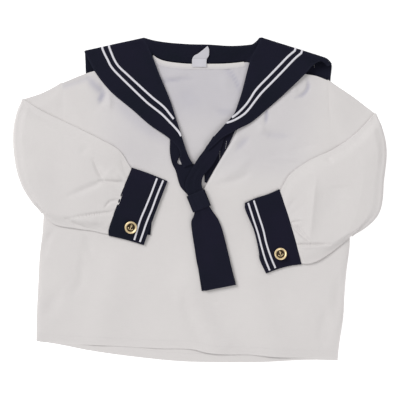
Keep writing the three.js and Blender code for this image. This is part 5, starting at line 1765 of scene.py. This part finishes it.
# %% Buttons on the cuffs
BACK_RADIUS, BUTTON_SINK = 2.4, 0.2


def add_button(name, place, turn, tilt):
    points, faces, bright, start = [], [], [], 0
    for grid, metal in button_parts():
        rows, columns = grid.shape[:2]
        faces.append(grid_faces(rows, columns, wrap=True) + start)
        points.append(grid.reshape(-1, 3))
        bright.append(np.broadcast_to(metal, (rows, columns)).ravel())
        start += rows * columns
    lean = Euler((math.radians(tilt[0]), math.radians(tilt[1]), math.radians(turn))).to_matrix()
    points = np.concatenate(points) @ np.array(lean).T + np.array(place)
    return add_mesh(name, points, np.concatenate(faces), "gilt_metal", worn=np.concatenate(bright))


for side, cuff in CUFFS.items():
    seat, _ = height_over(np.array([cuff["button"]]), cuff_grids[side])
    rise = BACK_RADIUS * math.sin(math.radians(max(abs(angle) for angle in cuff["tilt"])))
    place = (*cuff["button"], seat[0] - BUTTON_SINK + rise)
    add_button(f"{side}_button_brass", place, cuff["turn"], cuff["tilt"])
print_faces("right_button_brass")

# %% [markdown]
# ## Stitches
#
# Rows of stitches hold the hems, the collar's edge, the cuffs and the braids. Each stitch is a
# tiny spindle half sunk in the cloth. Hundreds of them joined into one mesh are still light, and
# a row of real stitches catches light in a way that a painted dash can't.

# %% Thread
THREADS = {"white_thread": (0.66, 0.64, 0.64), "navy_thread": (0.011, 0.013, 0.024)}
for name, colour in THREADS.items():
    tree, shader = new_material(name)
    place = object_place(tree)
    darker = tuple(0.8 * part for part in colour)
    feed(tree, shader["Base Color"],
         blend_colors(tree, noise(tree, place, 2200.0), (*colour, 1), (*darker, 1)))
    feed(tree, shader["Normal"], bump(tree, noise(tree, place, 5200.0), 0.00006))
    shader["Roughness"].default_value = 0.7
    shader["Specular IOR Level"].default_value = 0.15
print("threads:", list(THREADS))

# %% Stitch rows
STITCH_SIDES = 5
STITCH_RINGS = np.array([0.0, 0.12, 0.35, 0.65, 0.88, 1.0])
STITCH_SHAPE = np.array([0.05, 0.7, 1.0, 1.0, 0.7, 0.05])
STITCH_STEP, STITCH_ARCH, STITCH_SINK, LINE_STEP = 2.6, 0.9, 0.65, 0.25


def stitch_row(line, normals, step=STITCH_STEP, fill=0.74, size=0.17):
    """Points of the stitches along a line, as an array of stitch by ring by side by axis."""
    line, normals = spaced(line, LINE_STEP, normals)
    along = run_along(line)
    starts = np.arange(step * 0.3, along[-1] - step * fill, step)
    at = starts[:, None] + STITCH_RINGS[None] * step * fill
    path = np.stack([np.interp(at, along, line[:, axis]) for axis in range(3)], axis=-1)
    normal = unit(np.stack([np.interp(at, along, normals[:, axis]) for axis in range(3)], axis=-1))
    across = np.cross(unit(path[:, -1:] - path[:, :1]), normal)
    angles = full_turn(STITCH_SIDES)[:, None]
    radius = (size * STITCH_SHAPE)[None, :, None, None]
    dive = (size * (STITCH_ARCH * np.sin(np.pi * STITCH_RINGS) - STITCH_SINK))[None, :, None, None]
    around = across[:, :, None] * np.cos(angles) + normal[:, :, None] * np.sin(angles)
    return path[:, :, None] + radius * around + dive * normal[:, :, None]


def add_stitches(name, rows, material):
    """All the stitch rows of one piece, joined into one mesh."""
    grids = np.concatenate(rows)
    count, rings, sides = grids.shape[:3]
    one = grid_faces(rings, sides, wrap=True)
    faces = (one[None] + (np.arange(count) * rings * sides)[:, None, None]).reshape(-1, 4)
    return add_mesh(name, grids.reshape(-1, 3), faces, material)


def inset_line(grid, inset, edge="hem"):
    """Line on a grid's face that keeps a distance from one of its edges, and its normals."""
    sideways = grid.transpose(1, 0, 2)
    turned = {"hem": grid[::-1], "right": sideways, "left": sideways[::-1], "top": grid}[edge]
    steps = np.cumsum(apart(turned[1:], turned[:-1]), axis=0)
    away = np.concatenate([np.zeros((1, turned.shape[1])), steps])
    line = np.stack([[np.interp(inset, away[:, k], turned[:, k, axis]) for axis in range(3)]
                     for k in range(turned.shape[1])])
    return line, upward(line)


print("rings in a stitch:", len(STITCH_RINGS))

# %% Stitches of the body
BINDING_INSET = 1.1
rows = [stitch_row(*inset_line(grid, HEM_STITCH)) for grid in (front_grid, back_grid)]
add_stitches("hem_stitches", rows, "white_thread")
rows = [stitch_row(*inset_line(binding_grid, BINDING_INSET, "right"), step=2.3, size=0.14)]
add_stitches("binding_stitches", rows, "white_thread")
print("hem stitches:", len(pieces["hem_stitches"].data.polygons) // (STITCH_SIDES * 5))

# %% Stitches of the collar, cuffs and tie
TAPE_SEAM, TAPE_FULL = 0.72, 0.9
rows = []
for side, column in (("right", 0), ("left", -1)):
    columns = slice(None, lapel_columns) if side == "right" else slice(-lapel_columns, None)
    line, _ = inset_line(lapel_top[:, columns], STITCH_INSET, side)
    rows.append(stitch_row(line, lapel_facing[:, column]))
add_stitches("collar_stitches", rows, "navy_thread")
rows = []
for grid in cuff_grids.values():
    rows += [stitch_row(*inset_line(grid, STITCH_INSET, edge)) for edge in ("hem", "top")]
add_stitches("cuff_stitches", rows, "navy_thread")
rows = []
for line, normal, halves in braid_lines.values():
    full = halves.min(axis=1) > TAPE_FULL * halves.max()
    line, normal, halves = line[full], normal[full], halves[full]
    for side, width in ((-1, halves[:, :1]), (1, halves[:, 1:])):
        edge = line + side * TAPE_SEAM * width * across_of(line, normal) + normal * (BRAID_DEPTH * 0.9)
        rows.append(stitch_row(edge, normal, step=2.0, size=0.12))
add_stitches("braid_stitches", rows, "white_thread")
rows = [stitch_row(*inset_line(grid, TIE_HEM)) for grid in tie_grids.values()]
add_stitches("tie_stitches", rows, "navy_thread")
print("stitches:", [name for name in pieces if name.endswith("stitches")])

# %% [markdown]
# ## Loose thread lines on the under side
#
# The braid's bobbin thread shows as thin pale lines on the collar's under side, in the open roll
# at the left shoulder and on the turned-back strip.

# %% Pale thread lines
UNDER_LINES = [
    [(23.6, 64.6), (22.9, 55), (22.8, 44.9)],
    [(30.5, 68.3), (29.9, 63), (29.1, 58.1)],
]
ROLL_LINES = [[(131.6, 156.4), (131.7, 151), (131.9, 146)], [(126, 149.6), (124.6, 147.4)]]


def thread_line(points, surface):
    plan = even_line(points, np.linspace(0, 1, 40))
    top, _ = height_over(plan, surface, 1.5)
    line = np.column_stack([plan, top + TOUCH])
    return stitch_row(line, upward(line), step=1.9, fill=0.8, size=0.16)


flap_top = flap_grid[-8:, -lapel_columns:] + UP * NAVY / 2
rows = [thread_line(points, under_grid) for points in UNDER_LINES]
rows += [thread_line(points, flap_top) for points in ROLL_LINES]
add_stitches("under_collar_stitches", rows, "white_thread")
print("under side lines:", len(rows))

# %% [markdown]
# ## The floor
#
# The jumper lies on a plain pale surface that runs out of view on every side. It glows a little,
# so that it stays pale. A white world alone would do for the colour, but would take no shadow.

# %% Floor
FLOOR_HALF = 4000.0
corners = np.array([(-1, -1, 0), (1, -1, 0), (1, 1, 0), (-1, 1, 0)], float) * FLOOR_HALF
corners[:, 2] = -TOUCH
tree, shader = new_material("pale_floor")
place = object_place(tree)
tone = blend_colors(tree, noise(tree, place, 3.0), (0.96, 0.96, 0.96, 1), (0.95, 0.95, 0.95, 1))
feed(tree, shader["Base Color"], tone)
shader["Roughness"].default_value = 0.9
shader["Emission Color"].default_value = (1, 1, 1, 1)
shader["Emission Strength"].default_value = 0.4
floor = add_mesh("floor", corners, np.array([[0, 1, 2, 3]]), "pale_floor")
del pieces["floor"]
print("floor half width, mm:", FLOOR_HALF)

# %% [markdown]
# ## Which solid each piece stands for
#
# Every piece rides on the one body. Each shell, braid and button takes the place of its solid.
# The stitches have no solid of their own, so they only ride.

# %% Ride and replace
STANDS_FOR = {
    "back_shell": ("back_panel", "white_cotton"),
    "front_shell": ("front_panel", "white_cotton"),
    "collar_shell": ("collar", "navy_cotton"),
    "neck_binding_strip": ("neck_binding", "white_cotton"),
    "neck_label_tape": ("neck_label", "label_tape"),
    "left_under_collar_strip": ("left_under_collar", "navy_cotton"),
    "tie_keeper_loop": ("tie_keeper", "navy_cotton"),
}
for side in ("right", "left"):
    STANDS_FOR[f"{side}_sleeve_shell"] = (f"{side}_sleeve", "white_cotton")
    STANDS_FOR[f"{side}_cuff_shell"] = (f"{side}_cuff", "navy_cotton")
    STANDS_FOR[f"{side}_tie_cloth"] = (f"{side}_tie_end", "navy_cotton")
    STANDS_FOR[f"{side}_button_brass"] = (f"{side}_cuff_button", "gilt_metal")
    for place in ("collar", "cuff"):
        for key in ("inner", "outer"):
            STANDS_FOR[f"{side}_{place}_tape_{key}"] = (f"{side}_{place}_braid_{key}", "white_braid")
for name, piece in pieces.items():
    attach(piece, "root")
    if name in STANDS_FOR:
        node, slot = STANDS_FOR[name]
        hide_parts(node)
print("pieces:", len(pieces))

# %% [markdown]
# ## Flat sizes
#
# The flat size is what a maker would cut: the length and width of the cloth before it was sewn
# and folded, without its hems and seam allowances. A tube's width is its whole way round. The
# area is less than width by length where the cut isn't a rectangle. Braid, binding and stitches
# are too narrow to be sheets, so they go with the cloth they are sewn to.

# %% Sheets of cloth
TAPES = {(side, place): [f"{side}_{place}_tape_{key}" for key in ("inner", "outer")]
         for side in ("right", "left") for place in ("collar", "cuff")}
# one row a sheet: flat width and length, area unless it is a rectangle, how it is held, what it
# rests on and what goes with it
SHEETS = {
    "back_shell": ((0.360, 0.352), 0.112, "laid", "collar", ["neck_binding_strip", "binding_stitches"]),
    "front_shell": ((0.360, 0.350), 0.100, "laid", "back_panel", ["hem_stitches"]),
    "right_sleeve_shell": ((0.300, 0.170), 0.040, "folded", "front_panel", []),
    "left_sleeve_shell": ((0.300, 0.175), 0.0415, "folded", "front_panel", []),
    "right_cuff_shell": ((0.168, 0.043), None, "folded", "front_panel",
                         TAPES["right", "cuff"] + ["cuff_stitches"]),
    "left_cuff_shell": ((0.170, 0.044), None, "folded", "front_panel", TAPES["left", "cuff"]),
    "collar_shell": ((0.287, 0.310), 0.0564, "folded", "front_panel",
                     TAPES["right", "collar"] + TAPES["left", "collar"]
                     + ["collar_stitches", "braid_stitches"]),
    "neck_label_tape": ((0.017, 0.0245), 0.00033, "folded", "neck_binding", []),
    "left_under_collar_strip": ((0.0165, 0.066), 0.00086, "laid", "back_panel",
                                ["under_collar_stitches"]),
    "right_tie_cloth": ((0.034, 0.178), 0.0044, "gathered", "front_panel", []),
    "left_tie_cloth": ((0.040, 0.188), 0.0049, "gathered", "right_tie_end", ["tie_stitches"]),
    "tie_keeper_loop": ((0.052, 0.020), None, "folded", "left_tie_end", []),
}
for name, (flat, area, held, under, others) in SHEETS.items():
    one_side = sum(face.area for face in pieces[name].data.polygons) / 2
    print(f"{name}: {one_side / (area or flat[0] * flat[1]):.2f} of its flat area")
